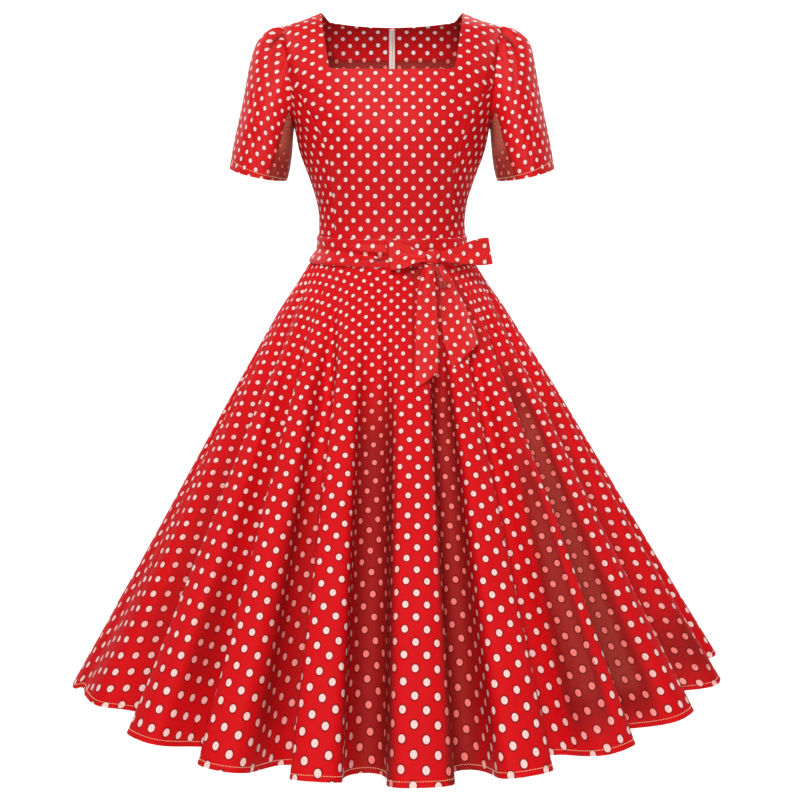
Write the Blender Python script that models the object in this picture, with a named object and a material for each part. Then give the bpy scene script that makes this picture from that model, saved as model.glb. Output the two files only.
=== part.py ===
"""A short-sleeved swing dress in woven cotton, hollow and filled out as it is worn.

Metres, +Z up. The front faces -Y and the wearer's left is +X. The origin lies between the
shoulders, level with the neck ends of the shoulder seams.

Every panel of cloth is a wall lofted between its seam lines. Both faces of the wall come
from one smooth surface and its normal, so two panels stay parallel where they meet, and
each stops half a seam gap short of the seam.
"""

import math

import bmesh
import bpy
from mathutils import Vector

# ------------------------------------------------------------------ driving sizes
WALL = 0.0016  # cloth with its turned edges
TAPE = 0.0010  # zip tape
SEAM_GAP = 0.0003
HALF_GAP = SEAM_GAP / 2
STEP = 1e-4  # step used to read a surface's slope

WAIST = -0.362  # height of the waist seam
ROUNDNESS = 2.3  # exponent of the torso's cross sections, 2 is an ellipse

# Torso sections, from below the waist to the shoulder tips.
TORSO_COLUMNS = ("height", "breadth", "front", "back")
TORSO = (
    (-0.400, 0.1205, 0.0930, 0.0880),
    (-0.362, 0.1185, 0.0900, 0.0840),
    (-0.336, 0.1170, 0.0895, 0.0825),
    (-0.312, 0.1165, 0.0915, 0.0825),
    (-0.285, 0.1205, 0.0975, 0.0840),
    (-0.254, 0.1300, 0.1070, 0.0870),
    (-0.210, 0.1455, 0.1190, 0.0920),
    (-0.172, 0.1535, 0.1235, 0.0960),
    (-0.130, 0.1650, 0.1150, 0.0985),
    (-0.087, 0.1715, 0.1000, 0.0965),
    (-0.050, 0.1725, 0.0790, 0.0860),
    (-0.0236, 0.1665, 0.0560, 0.0670),
    (-0.010, 0.1343, 0.0370, 0.0460),
    (0.0007, 0.1090, 0.0060, 0.0080),
)
SHOULDER_NECK = (0.1090, 0.0007)  # breadth and height of the shoulder seam's neck end
SHOULDER_TIP = (0.1665, -0.0236)  # and of its sleeve end

# Necklines: a square front one and a wide, slightly hollow back one.
NECK_FRONT = {"centre": -0.0890, "corner": -0.0870, "sleeve": -0.0870, "breadth": 0.0935}
NECK_BACK = {"centre": -0.0165, "corner": -0.0105, "sleeve": -0.0450, "breadth": 0.0980}
STRAP_FROM = 0.6  # share of a panel's breadth where its shoulder strap starts

# Armhole: an oval on the torso, given by how far it cuts in at the front and the back.
ARMHOLE_TOP = SHOULDER_TIP[1]
ARMHOLE_BOTTOM = -0.1700
ARMHOLE_CUT = {-1: math.radians(25.0), 1: math.radians(22.0)}

# Princess seams of the front, half the breadth between them at each height.
PRINCESS_TOP = -0.0980  # where the seam runs into the armhole
PRINCESS_COLUMNS = ("height", "breadth")
PRINCESS = (
    (-0.3620, 0.0885),
    (-0.3180, 0.0890),
    (-0.2500, 0.0940),
    (-0.2060, 0.0990),
    (-0.1680, 0.1150),
    (-0.1280, 0.1370),
)

# Skirt: a circle skirt whose cloth hangs in cone-shaped folds from a smooth waist.
VALLEY_LENGTH = 0.762  # waist seam to hem down the bottom of a valley
DEEP_VALLEY = 0.060  # a shallower valley keeps more of the length of its ridges
FOLD_START = 0.35  # share of the skirt's length over which the folds open
HIP_BULGE = 0.0080  # how far the cloth stands out just below the sash
FOLD_COLUMNS = ("waist_deg", "hem_deg", "ridge", "valley", "length", "lean", "curl")
FOLDS = (
    (-168.0, -172.0, 0.535, 0.445, 0.784, 0.50, 0.05),
    (-152.0, -156.0, 0.546, 0.440, 0.778, 0.44, 0.03),
    (-137.0, -140.0, 0.536, 0.455, 0.782, 0.55, 0.06),
    (-122.0, -123.0, 0.544, 0.450, 0.780, 0.50, 0.04),
    (-109.0, -107.0, 0.532, 0.440, 0.785, 0.46, 0.03),
    (-98.0, -92.5, 0.518, 0.455, 0.799, 0.50, 0.05),
    (-87.0, -76.5, 0.537, 0.521, 0.815, 0.50, 0.04),
    (-74.0, -62.3, 0.526, 0.455, 0.782, 0.48, 0.05),
    (-60.0, -40.2, 0.546, 0.455, 0.777, 0.42, 0.06),
    (-46.0, -25.2, 0.546, 0.430, 0.784, 0.50, 0.07),
    (-25.0, -11.0, 0.540, 0.435, 0.779, 0.50, 0.13),
    (9.0, 2.7, 0.548, 0.445, 0.783, 0.66, 0.07),
    (33.0, 18.2, 0.546, 0.455, 0.781, 0.62, 0.08),
    (52.0, 34.4, 0.545, 0.445, 0.778, 0.58, 0.05),
    (66.0, 51.2, 0.548, 0.460, 0.777, 0.55, 0.05),
    (79.0, 70.0, 0.551, 0.475, 0.791, 0.50, 0.04),
    (90.0, 82.5, 0.546, 0.450, 0.792, 0.50, 0.04),
    (101.0, 97.0, 0.536, 0.440, 0.786, 0.47, 0.05),
    (115.0, 114.0, 0.532, 0.450, 0.781, 0.52, 0.03),
    (131.0, 132.0, 0.548, 0.445, 0.778, 0.50, 0.06),
    (147.0, 150.0, 0.538, 0.440, 0.783, 0.56, 0.04),
    (163.0, 169.0, 0.544, 0.450, 0.780, 0.48, 0.05),
)
RIDGE_BREADTH = 1.25  # above 1, ridges are broader than valleys
COLUMNS_PER_FOLD = 7
SKIRT_ROWS = (0.0, 0.06, 0.15, 0.25, 0.35, 0.46, 0.57, 0.68, 0.79, 0.90, 1.0)

# Sleeve: a short gathered one, set in the armhole and hanging free.
SLEEVE_HEM = {"x": 0.2110, "y": -0.0100, "z": -0.2435, "across": 0.0450, "deep": 0.0620}
SLEEVE_HEM_TILT = {"out": 0.0100, "forward": 0.0040}
CAP_LIFT = Vector((0.0390, 0.0, 0.0290))  # how the sleeve leaves the shoulder tip
FRONT_LIFT = Vector((0.0240, -0.0210, -0.0240))
BACK_LIFT = Vector((0.0240, 0.0210, -0.0240))
UNDER_LIFT = Vector((0.0035, 0.0, -0.0120))
CAP_FALL = Vector((-0.0260, 0.0, 0.1440))  # how it arrives at the hem, read upwards
FRONT_FALL = Vector((-0.0120, 0.0, 0.0700))
UNDER_FALL = Vector((-0.0110, 0.0, 0.0300))
GATHERED_TO = math.radians(60.0)  # how far round from the top the cap is gathered
SLEEVE_ROWS = (0.0, 0.07, 0.16, 0.28, 0.42, 0.58, 0.78, 1.0)

# Gathers of the sleeve cap: where each sits round the armhole, its depth and its reach.
GATHER_COLUMNS = ("round_deg", "depth", "reach")
GATHERS = (
    (-52.0, 0.0022, 0.34),
    (-30.0, 0.0036, 0.46),
    (-10.0, 0.0028, 0.36),
    (12.0, 0.0042, 0.50),
    (34.0, 0.0034, 0.58),
    (55.0, 0.0020, 0.38),
)
GATHER_WIDTH = math.radians(10.0)

# Sash: a band round the waist seam and a bow on the wearer's left of the front.
BAND_TOP = -0.3395
BAND_BOTTOM = -0.3800
BAND_EASE = 0.0006
BAND_FLARE = 0.75  # how fast its lower edge stands out over the skirt
BAND_WALL = 0.0022
BAND_COLUMNS_AROUND = 48
BAND_ROWS = 4

KNOT = {"x": 0.0620, "z": -0.3655, "across": 0.0120, "deep": 0.0080, "tall": 0.0115, "sunk": 0.0017}
LOOP_WALL = 0.0016
LOOP_GAP = 0.0040  # half the distance between the faces of a loop's two layers
LOOP_ROOT_GAP = 0.0030  # the same at the knot
LOOP_COLUMNS = ("side", "length", "end_y", "end_z", "end_height", "root_height", "follow", "tuck")
LOOPS = {
    "bow_loop_right": (-1.0, 0.0640, -0.0983, -0.3620, 0.0420, 0.0140, 1.0, 0.0010),
    "bow_loop_left": (1.0, 0.0925, -0.0740, -0.3585, 0.0400, 0.0150, 0.3, 0.0003),
}

# Sash ends: the line each hangs along, at stations down from the knot.
TAIL_COLUMNS = ("down", "left_x", "right_x", "off")
TAILS = {
    "sash_end_front": (
        (0.000, 0.0490, 0.0660, 0.0124),
        (0.030, 0.0390, 0.0665, 0.0102),
        (0.070, 0.0362, 0.0680, 0.0076),
        (0.110, 0.0346, 0.0690, 0.0062),
        (0.138, 0.0338, 0.0684, 0.0054),
        (0.157, 0.0335, 0.0675, 0.0050),
    ),
    "sash_end_side": (
        (0.000, 0.0645, 0.0790, 0.0094),
        (0.028, 0.0720, 0.0950, 0.0044),
        (0.055, 0.0735, 0.1085, 0.0028),
        (0.085, 0.0750, 0.1215, 0.0022),
        (0.110, 0.0785, 0.1310, 0.0022),
        (0.128, 0.0850, 0.1340, 0.0022),
    ),
}
TAIL_SLANT = {"sash_end_front": 0.020, "sash_end_side": 0.030}  # slanted cut ends
TAIL_TOP = -0.3774

# Zip down the centre back, its slider and its pull tab.
ZIP_TOP = 0.998  # share of the way from waist to neckline
ZIP_BELOW_WAIST = 0.15  # share of the skirt's length that the zip opens
ZIP_HALF_WIDTH = 0.0045
ZIP_SPLIT = 0.0002
ZIP_EASE = 0.0005
SLIDER = {"height": -0.0320, "width": 0.0056, "thick": 0.0020, "tall": 0.0090}
SLIDER_LIFT = 0.0012  # how far the slider's body stands off the line of the back
CHEEK = {"thick": 0.0008, "tall": 0.0030}
HINGE_OUT = SLIDER_LIFT + SLIDER["thick"] + 0.0014
PULL = {"width": 0.0032, "thick": 0.0010, "length": 0.0210, "eye": 0.0009}
PULL_SHAPE = ((0.0, 0.80), (0.20, 0.62), (0.45, 0.72), (0.75, 1.0), (0.92, 0.86), (1.0, 0.42))
PIN_RADIUS = 0.0004
FREE = 0.0003  # running clearance of the pull tab

FACETS = 16

RED = (0.60, 0.006, 0.010, 1.0)
CREAM = (0.78, 0.62, 0.58, 1.0)
METAL = (0.62, 0.06, 0.06, 1.0)


# ------------------------------------------------------------------ small helpers
def rows_of(table, columns):
    """A table's rows as dictionaries with the column names."""
    return [dict(zip(columns, row)) for row in table]


def blend(a, b, share):
    return a + (b - a) * share


def ease(share):
    """0 to 1 with a soft start and end."""
    share = max(0.0, min(1.0, share))
    return share * share * (3.0 - 2.0 * share)


def spread(low, high, count):
    """count + 1 even values from low to high."""
    return [blend(low, high, i / count) for i in range(count + 1)]


class Curve:
    """A smooth curve through (place, value) pairs, straight beyond both ends."""

    def __init__(self, pairs):
        self.x = [pair[0] for pair in pairs]
        self.y = [pair[1] for pair in pairs]
        last = len(pairs) - 1
        self.slope = []
        for i in range(last + 1):
            a, b = max(i - 1, 0), min(i + 1, last)
            self.slope.append((self.y[b] - self.y[a]) / (self.x[b] - self.x[a]))

    def __call__(self, x):
        if x <= self.x[0]:
            return self.y[0] + (x - self.x[0]) * self.slope[0]
        if x >= self.x[-1]:
            return self.y[-1] + (x - self.x[-1]) * self.slope[-1]
        i = max(k for k in range(len(self.x) - 1) if self.x[k] <= x)
        width = self.x[i + 1] - self.x[i]
        t = (x - self.x[i]) / width
        start = (1 + 2 * t) * (1 - t) ** 2 * self.y[i] + t * (1 - t) ** 2 * width * self.slope[i]
        end = t * t * (3 - 2 * t) * self.y[i + 1] - t * t * (1 - t) * width * self.slope[i + 1]
        return start + end


def column(table, columns, key, value):
    """One column of a table as a smooth curve over another."""
    return Curve([(row[key], row[value]) for row in rows_of(table, columns)])


# ------------------------------------------------------------------ meshes
def material(name, colour, roughness, metallic=0.0):
    made = bpy.data.materials.new(name)
    made.use_nodes = True
    shader = made.node_tree.nodes["Principled BSDF"]
    shader.inputs["Base Color"].default_value = colour
    shader.inputs["Roughness"].default_value = roughness
    shader.inputs["Metallic"].default_value = metallic
    return made


def finish_object(name, mesh, colour=RED, roughness=0.75, metallic=0.0):
    """Turns a bmesh into a named object with its own material."""
    data = bpy.data.meshes.new(name)
    mesh.to_mesh(data)
    mesh.free()
    data.materials.append(material(name, colour, roughness, metallic))
    made = bpy.data.objects.new(name, data)
    dress.objects.link(made)
    return made


def normal_at(place, u, v, ends=(-10.0, 10.0)):
    """The unit normal of a surface, from its slopes along u and v inside v's ends."""
    along_u = place(u + STEP, v) - place(u - STEP, v)
    along_v = place(u, min(v + STEP, ends[1])) - place(u, max(v - STEP, ends[0]))
    return along_u.cross(along_v).normalized()


def shell(name, us, vs, place, outward=1.0, wall=WALL, normal=None, trim=None, present=None,
          closed=False, **look):
    """A wall of cloth. place(u, v) gives its outer face, and outward is 1 where u x v points
    out of the garment. normal(point) may stand in for the slopes of place, trim keeps both
    faces off a seam plane, present(i, j) leaves cells out, and closed joins the last column
    to the first."""
    mesh = bmesh.new()
    trim = trim or (lambda point: point)
    last = len(us) if closed else len(us) - 1
    cells = [(i, j) for i in range(last) for j in range(len(vs) - 1) if not present or present(i, j)]
    outer, inner = {}, {}

    def corner(i, j):
        i %= len(us)
        if (i, j) not in outer:
            point = place(us[i], vs[j])
            if normal:
                under = point - normal(point) * wall
            else:
                under = point - normal_at(place, us[i], vs[j], (vs[0], vs[-1])) * outward * wall
            outer[i, j] = mesh.verts.new(trim(point))
            inner[i, j] = mesh.verts.new(trim(under))
        return i, j

    edges = {}
    for i, j in cells:
        ring = [corner(i, j), corner(i + 1, j), corner(i + 1, j + 1), corner(i, j + 1)]
        if outward < 0:
            ring.reverse()
        for a, b, c in ((ring[0], ring[1], ring[2]), (ring[0], ring[2], ring[3])):
            mesh.faces.new((outer[a], outer[b], outer[c]))
            mesh.faces.new((inner[c], inner[b], inner[a]))
            for pair in ((a, b), (b, c), (c, a)):
                edges[pair] = True
    for a, b in edges:
        if (b, a) not in edges:
            mesh.faces.new((outer[b], outer[a], inner[a], inner[b]))
    return finish_object(name, mesh, **look)


# ------------------------------------------------------------------ torso surface
torso_curves = {key: column(TORSO, TORSO_COLUMNS, "height", key) for key in TORSO_COLUMNS[1:]}
princess_curve = column(PRINCESS, PRINCESS_COLUMNS, "height", "breadth")


def half_breadth(height):
    """Half the torso's breadth. Above the shoulder tips it follows the shoulder seams."""
    if height <= SHOULDER_TIP[1]:
        return torso_curves["breadth"](height)
    share = (height - SHOULDER_TIP[1]) / (SHOULDER_NECK[1] - SHOULDER_TIP[1])
    return blend(SHOULDER_TIP[0], SHOULDER_NECK[0], share)


def half_depth(height, side):
    """The torso's depth in front of (side -1) or behind (side 1) the side seams."""
    return max(torso_curves["front" if side < 0 else "back"](height), 1e-4)


def torso_at(x, height, side):
    """The point of the torso's surface at a breadth and a height."""
    share = min(abs(x) / half_breadth(height), 1.0)
    depth = half_depth(height, side) * (1.0 - share**ROUNDNESS) ** (1.0 / ROUNDNESS)
    return Vector((x, side * depth, height))


def torso_round(angle, height):
    """The point of the torso at an angle round it: 0 is the front, 90 degrees the left side."""
    power = 2.0 / ROUNDNESS
    sine, cosine = math.sin(angle), math.cos(angle)
    x = half_breadth(height) * math.copysign(abs(sine) ** power, sine)
    side = -1 if cosine > 0 else 1
    return Vector((x, side * half_depth(height, side) * abs(cosine) ** power, height))


def torso_normal(point):
    """The way out of the torso's surface at a point on it."""
    height = point.z
    side = -1 if point.y < 0 else 1
    breadth, depth = half_breadth(height), half_depth(height, side)
    widening = (half_breadth(height + STEP) - half_breadth(height - STEP)) / (2 * STEP)
    deepening = (half_depth(height + STEP, side) - half_depth(height - STEP, side)) / (2 * STEP)
    across, along = abs(point.x) / breadth, abs(point.y) / depth
    x = math.copysign(across ** (ROUNDNESS - 1) / breadth, point.x)
    y = math.copysign(along ** (ROUNDNESS - 1) / depth, point.y)
    z = -(across**ROUNDNESS * widening / breadth + along**ROUNDNESS * deepening / depth)
    return Vector((x, y, z)).normalized()


def angle_of(x, height):
    """The angle from the centre line to a breadth, always from 0 to 90 degrees."""
    return math.asin(min(abs(x) / half_breadth(height), 1.0) ** (ROUNDNESS / 2.0))


def armhole_turn(height):
    """How far round the armhole a height is: 0 at the shoulder tip, pi at the underarm."""
    middle = (ARMHOLE_TOP + ARMHOLE_BOTTOM) / 2
    reach = (ARMHOLE_TOP - ARMHOLE_BOTTOM) / 2
    return math.acos(max(-1.0, min(1.0, (height - middle) / reach)))


def armhole_height(turn):
    return blend(ARMHOLE_BOTTOM, ARMHOLE_TOP, (1 + math.cos(turn)) / 2)


def armhole_angle(turn, side):
    """The torso angle of the armhole's edge, from the centre line of that side."""
    return math.pi / 2 - ARMHOLE_CUT[side] * abs(math.sin(turn)) ** 0.8


def armhole_point(turn):
    """The armhole of the wearer's left: turn 0 is the shoulder tip, 90 degrees the front."""
    height = armhole_height(turn)
    side = -1 if math.sin(turn) >= 0 else 1
    x = half_breadth(height) * math.sin(armhole_angle(turn, side)) ** (2 / ROUNDNESS)
    return torso_at(x, height, side)


def armhole_out(turn):
    """The way off the bodice across the armhole's edge, in the plane of the cloth."""
    along = armhole_point(turn + 1e-3) - armhole_point(turn - 1e-3)
    return torso_normal(armhole_point(turn)).cross(along).normalized()


def princess_angle(height):
    """The torso angle of the princess seam, which ends on the armhole."""
    top = armhole_angle(armhole_turn(PRINCESS_TOP), -1)
    low = PRINCESS[-1][0]
    if height < low:
        return angle_of(princess_curve(height), height)
    start = angle_of(princess_curve(low), low)
    slope = (start - angle_of(princess_curve(low - 0.01), low - 0.01)) / 0.01
    share = (height - low) / (PRINCESS_TOP - low)
    straight = start + slope * (height - low)
    return blend(straight, top, ease(share)) if share < 1 else top


# ------------------------------------------------------------------ bodice
def panel_edge(height, side):
    """The outer edge of a centre panel: its long seam, and the armhole above that."""
    if side < 0 and height < PRINCESS_TOP:
        return princess_angle(height) - HALF_GAP / 0.12
    if side > 0 and height < ARMHOLE_BOTTOM:
        return math.pi / 2
    return armhole_angle(armhole_turn(height), side)


def neck_level(share, side):
    """Breadth and height of the line that runs along the neckline and on to the armhole."""
    neck = NECK_FRONT if side < 0 else NECK_BACK
    if share <= STRAP_FROM:
        part = share / STRAP_FROM
        return neck["breadth"] * part, blend(neck["centre"], neck["corner"], part**2)
    part = (share - STRAP_FROM) / (1 - STRAP_FROM)
    height = blend(neck["corner"], neck["sleeve"], part)
    edge = torso_round(panel_edge(neck["sleeve"], side), neck["sleeve"]).x
    return blend(neck["breadth"], edge, part), height


def centre_panel_point(side):
    """The surface of a front (side -1) or back (side 1) panel. u runs from the centre line
    to the outer edge, v from the waist to the neck level at 1 and the shoulder at 2."""
    level_edge = neck_level(1.0, side)[0]

    def place(u, v):
        share = abs(u)
        sign = 1.0 if u >= 0 else -1.0
        level_x, level_z = neck_level(share, side)
        if v <= 1.0:
            height = blend(WAIST, level_z, v)
            edge_z = blend(WAIST, neck_level(1.0, side)[1], v)
            edge = panel_edge(edge_z, side)
            even_x = torso_round(share * edge, height).x
            level_x += share**3 * (torso_round(edge, edge_z).x - level_edge)
            x = blend(even_x, level_x, ease(v * 1.1)) if share < 1 else even_x
            point = torso_at(min(x, half_breadth(height)), height, side)
            return Vector((sign * point.x, point.y, point.z))
        part = (share - STRAP_FROM) / (1 - STRAP_FROM)
        top_x = blend(SHOULDER_NECK[0], SHOULDER_TIP[0], part)
        top_z = blend(SHOULDER_NECK[1], SHOULDER_TIP[1], part)
        rise = 1.0 - (2.0 - v) ** 2
        height = blend(level_z, top_z, rise)
        edge_z = blend(neck_level(1.0, side)[1], SHOULDER_TIP[1], rise)
        edge_x = torso_round(armhole_angle(armhole_turn(edge_z), side), edge_z).x
        x = blend(level_x, top_x, rise)
        x += max(part, 0.0) * (edge_x - blend(neck_level(1.0, side)[0], SHOULDER_TIP[0], rise))
        point = torso_at(min(x, half_breadth(height)), height, side)
        return Vector((sign * point.x, point.y, point.z))

    return place


def front_trim(point):
    return Vector((point.x, min(point.y, -HALF_GAP), max(point.z, WAIST + HALF_GAP)))


def back_trim(sign):
    def trim(point):
        x = sign * max(sign * point.x, HALF_GAP)
        return Vector((x, max(point.y, HALF_GAP), max(point.z, WAIST + HALF_GAP)))

    return trim


def level_of(height, side):
    """How far up a centre panel's outer edge a height is: 1 at the neck level, 2 at the top."""
    level = (NECK_FRONT if side < 0 else NECK_BACK)["sleeve"]
    if height <= level:
        return (height - WAIST) / (level - WAIST)
    return 2.0 - math.sqrt(max(1.0 - (height - level) / (SHOULDER_TIP[1] - level), 0.0))


# Where the panels' rows and columns meet the armhole, from the shoulder tip round the
# front to the underarm, and on up the back. Both sides of every seam share these places.
PRINCESS_TURN = armhole_turn(PRINCESS_TOP)
NECK_TURN = armhole_turn(NECK_FRONT["sleeve"])
YOKE_TURN = armhole_turn(NECK_BACK["sleeve"])
FRONT_STRAP_TURNS = spread(NECK_TURN, 0.0, 5)[1:]
SIDE_TURNS = spread(PRINCESS_TURN, math.pi, 5)
BACK_TURNS = spread(math.pi, YOKE_TURN, 8)[1:]
BACK_STRAP_TURNS = spread(YOKE_TURN, 0.0, 3)[1:]
SIDE_ROWS = spread(0.0, 1.0, 9)

FRONT_LEVELS = [level_of(blend(WAIST, PRINCESS_TOP, row), -1) for row in SIDE_ROWS] + [1.0]
FRONT_STRAP = [level_of(armhole_height(turn), -1) for turn in FRONT_STRAP_TURNS]
BACK_LEVELS = [level_of(blend(WAIST, ARMHOLE_BOTTOM, row), 1) for row in SIDE_ROWS]
BACK_LEVELS += [level_of(armhole_height(turn), 1) for turn in BACK_TURNS]
BACK_STRAP = [level_of(armhole_height(turn), 1) for turn in BACK_STRAP_TURNS]
CENTRE_SHARES = [0.0, 0.15, 0.30, 0.45, STRAP_FROM, 0.7, 0.8, 0.9, 1.0]


def front_centre():
    """The centre front: from princess seam to princess seam, with both straps."""
    us = [-share for share in reversed(CENTRE_SHARES[1:])] + CENTRE_SHARES
    vs = FRONT_LEVELS + FRONT_STRAP
    neck_row = len(FRONT_LEVELS) - 1

    def present(i, j):
        middle = abs(us[i] + us[i + 1]) / 2
        return j < neck_row or middle > STRAP_FROM

    place = centre_panel_point(-1)
    shell("front_bodice_centre", us, vs, place, normal=torso_normal, trim=front_trim, present=present)


def back_panel(name, sign):
    """Half the back, from the zip to the side seam and armhole."""
    us = sorted(sign * share for share in CENTRE_SHARES)
    vs = BACK_LEVELS + BACK_STRAP
    neck_row = len(BACK_LEVELS) - 1
    base = centre_panel_point(1)

    def place(u, v):
        point = base(abs(u), v)
        return Vector((math.copysign(point.x, u), point.y, point.z))

    def present(i, j):
        return j < neck_row or abs(us[i] + us[i + 1]) / 2 > STRAP_FROM

    shell(name, us, vs, place, outward=-1.0, normal=torso_normal, trim=back_trim(sign), present=present)


def front_side(name, sign):
    """The side front, from the princess seam to the side seam, up to the armhole."""

    def place(u, v):
        top = armhole_height(blend(PRINCESS_TURN, math.pi, u))
        height = blend(WAIST, top, v)
        seam = princess_angle(height) + HALF_GAP / 0.12
        top_seam = princess_angle(top)
        top_angle = armhole_angle(armhole_turn(top), -1)
        top_share = (top_angle - top_seam) / (math.pi / 2 - top_seam)
        share = blend(u, top_share, ease(v))
        point = torso_round(seam + (math.pi / 2 - seam) * share, height)
        return Vector((sign * point.x, point.y, point.z))

    us = spread(0.0, 1.0, 5)
    shell(name, us, SIDE_ROWS, place, outward=sign, normal=torso_normal, trim=front_trim)


# ------------------------------------------------------------------ sleeve
SEAM_TURNS = sorted(FRONT_STRAP_TURNS + [NECK_TURN] + SIDE_TURNS)
SEAM_TURNS += sorted(2 * math.pi - turn for turn in BACK_TURNS + BACK_STRAP_TURNS[:-1])


def gather_offset(turn, share):
    """How far the cap's gathers stand out: nothing on the seam, most just below it."""
    total = 0.0
    for row in rows_of(GATHERS, GATHER_COLUMNS):
        away = math.remainder(turn - math.radians(row["round_deg"]), 2 * math.pi)
        across = math.exp(-((away / GATHER_WIDTH) ** 2))
        along = ease(share / 0.06) * (1.0 - ease(share / row["reach"]))
        total += row["depth"] * across * along
    return total


def sleeve_point(turn, share):
    """The wearer's left sleeve. turn 0 is on top, 90 degrees in front; share 1 is the hem."""
    c, s = math.cos(turn), math.sin(turn)
    top, front, back = max(c, 0.0) ** 1.2, max(s, 0.0), max(-s, 0.0)
    under = max(-c, 0.0)
    start = armhole_seam(turn)
    end = Vector(
        (
            SLEEVE_HEM["x"] + SLEEVE_HEM["across"] * c,
            SLEEVE_HEM["y"] - SLEEVE_HEM["deep"] * s,
            SLEEVE_HEM["z"] + SLEEVE_HEM_TILT["out"] * c - SLEEVE_HEM_TILT["forward"] * s,
        )
    )
    total = top + front**2 + back**2 + under
    lift = (CAP_LIFT * top + FRONT_LIFT * front**2 + BACK_LIFT * back**2 + UNDER_LIFT * under) / total
    fall = (CAP_FALL * top + FRONT_FALL * (front**2 + back**2) + UNDER_FALL * under) / total
    a, b, c1, d = start, start + lift, end + fall, end
    t = share
    point = a * (1 - t) ** 3 + b * 3 * t * (1 - t) ** 2 + c1 * 3 * t * t * (1 - t) + d * t**3
    outward = Vector((0.7 * math.cos(turn) + 0.15, -math.sin(turn), 0.35 * max(c, 0.0)))
    return point + outward.normalized() * gather_offset(turn, share)


def armhole_seam(turn):
    """The sleeve's side of the armhole seam, straight between the panels' own places."""
    turn %= 2 * math.pi
    i = max(k for k in range(len(SEAM_TURNS)) if SEAM_TURNS[k] <= turn + 1e-9)
    low, high = SEAM_TURNS[i], (SEAM_TURNS + [2 * math.pi])[i + 1]
    share = (turn - low) / (high - low)
    start, end = (armhole_point(t) + armhole_out(t) * SEAM_GAP for t in (low, high))
    return start.lerp(end, share) + Vector((SEAM_GAP * max(-math.cos(turn), 0.0), 0.0, 0.0))


def sleeve_turns():
    """Columns round the sleeve, closer together over the gathered cap."""
    turns = []
    for low, high in zip(SEAM_TURNS, SEAM_TURNS[1:] + [2 * math.pi]):
        count = 3 if min(low, 2 * math.pi - high) < GATHERED_TO else 2
        turns += spread(low, high, count)[:-1]
    return turns


def sleeve(name, sign):
    def place(turn, share):
        point = sleeve_point(turn, share)
        return Vector((sign * point.x, point.y, point.z))

    shell(name, sleeve_turns(), SLEEVE_ROWS, place, outward=sign, closed=True)


# ------------------------------------------------------------------ skirt
fold_rows = rows_of(FOLDS, FOLD_COLUMNS)
FOLD_COUNT = len(fold_rows)


def fold_value(key, u):
    """A column of the fold table at fold number u, smooth and going on round the waist."""
    first = math.floor(u)
    t = u - first
    turn = 360.0 if key.endswith("_deg") else 0.0

    def value(index):
        return fold_rows[index % FOLD_COUNT][key] + turn * (index // FOLD_COUNT)

    p0, p1, p2, p3 = (value(first + k) for k in (-1, 0, 1, 2))
    slope1, slope2 = (p2 - p0) / 2, (p3 - p1) / 2
    start = (1 + 2 * t) * (1 - t) ** 2 * p1 + t * (1 - t) ** 2 * slope1
    return start + t * t * (3 - 2 * t) * p2 - t * t * (1 - t) * slope2


def leaned(phase, lean):
    """A fold's phase, with the middle of its valley moved to lean."""
    if lean >= 0.5:
        return phase ** (math.log(0.5) / math.log(lean))
    return 1.0 - (1.0 - phase) ** (math.log(0.5) / math.log(1.0 - lean))


def skirt_point(u, share):
    """The skirt's outer face. u counts folds, with a ridge at each whole number and a
    valley between; share runs from the waist seam at 0 to the hem at 1."""
    first = math.floor(u)
    phase = leaned(u - first, fold_rows[first % FOLD_COUNT]["lean"])
    opened = ease(share / FOLD_START)
    dip = math.sin(math.pi * phase) ** (2 * RIDGE_BREADTH)
    ridge, valley = fold_value("ridge", u), fold_value("valley", first)
    radius = blend(ridge, fold_value("valley", u - 0.5), 0.42)
    radius = blend(radius, blend(ridge, valley, dip), opened)
    spacing = fold_value("hem_deg", first + 1) - fold_value("hem_deg", first)
    curl = fold_value("curl", u) * spacing * math.sin(4 * math.pi * phase) * opened
    angle = math.radians(fold_value("hem_deg", u) + curl)
    waist = torso_round(math.radians(fold_value("waist_deg", u)), WAIST)
    hem = Vector((radius * math.sin(angle), -radius * math.cos(angle), 0.0))
    across = hem - Vector((waist.x, waist.y, 0.0))
    short = dip * min((ridge - valley) / DEEP_VALLEY, 1.0)
    length = blend(fold_value("length", u), VALLEY_LENGTH, blend(0.42, short, opened))
    drop = math.sqrt(length**2 - across.length_squared)
    bulge = HIP_BULGE * ease((share - 0.03) / 0.12) * (1.0 - ease((share - 0.15) / 0.8))
    point = waist + (across - Vector((0.0, 0.0, drop))) * share
    return point + across.normalized() * bulge


def fold_number(hem_deg):
    """The fold number whose hem lies at an azimuth."""
    low, high = -1.0, FOLD_COUNT + 1.0
    for _ in range(60):
        middle = (low + high) / 2
        if fold_value("hem_deg", middle) < hem_deg:
            low = middle
        else:
            high = middle
    return low


def skirt_panel(name, from_deg, to_deg):
    """One panel of the skirt between two seams."""
    first, last = fold_number(from_deg), fold_number(to_deg)
    count = round((last - first) * COLUMNS_PER_FOLD)
    us = spread(first, last, count)

    def place(u, v):
        if abs(u - first) < STEP / 2 or abs(u - last) < STEP / 2:
            speed = (skirt_point(u + STEP, v) - skirt_point(u - STEP, v)).length / (2 * STEP)
            u += math.copysign(HALF_GAP / speed, last - u - (last - first) / 2)
        return skirt_point(u, v)

    def trim(point):
        return Vector((point.x, point.y, min(point.z, WAIST - HALF_GAP)))

    shell(name, us, list(SKIRT_ROWS), place, outward=-1.0, trim=trim)


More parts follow.
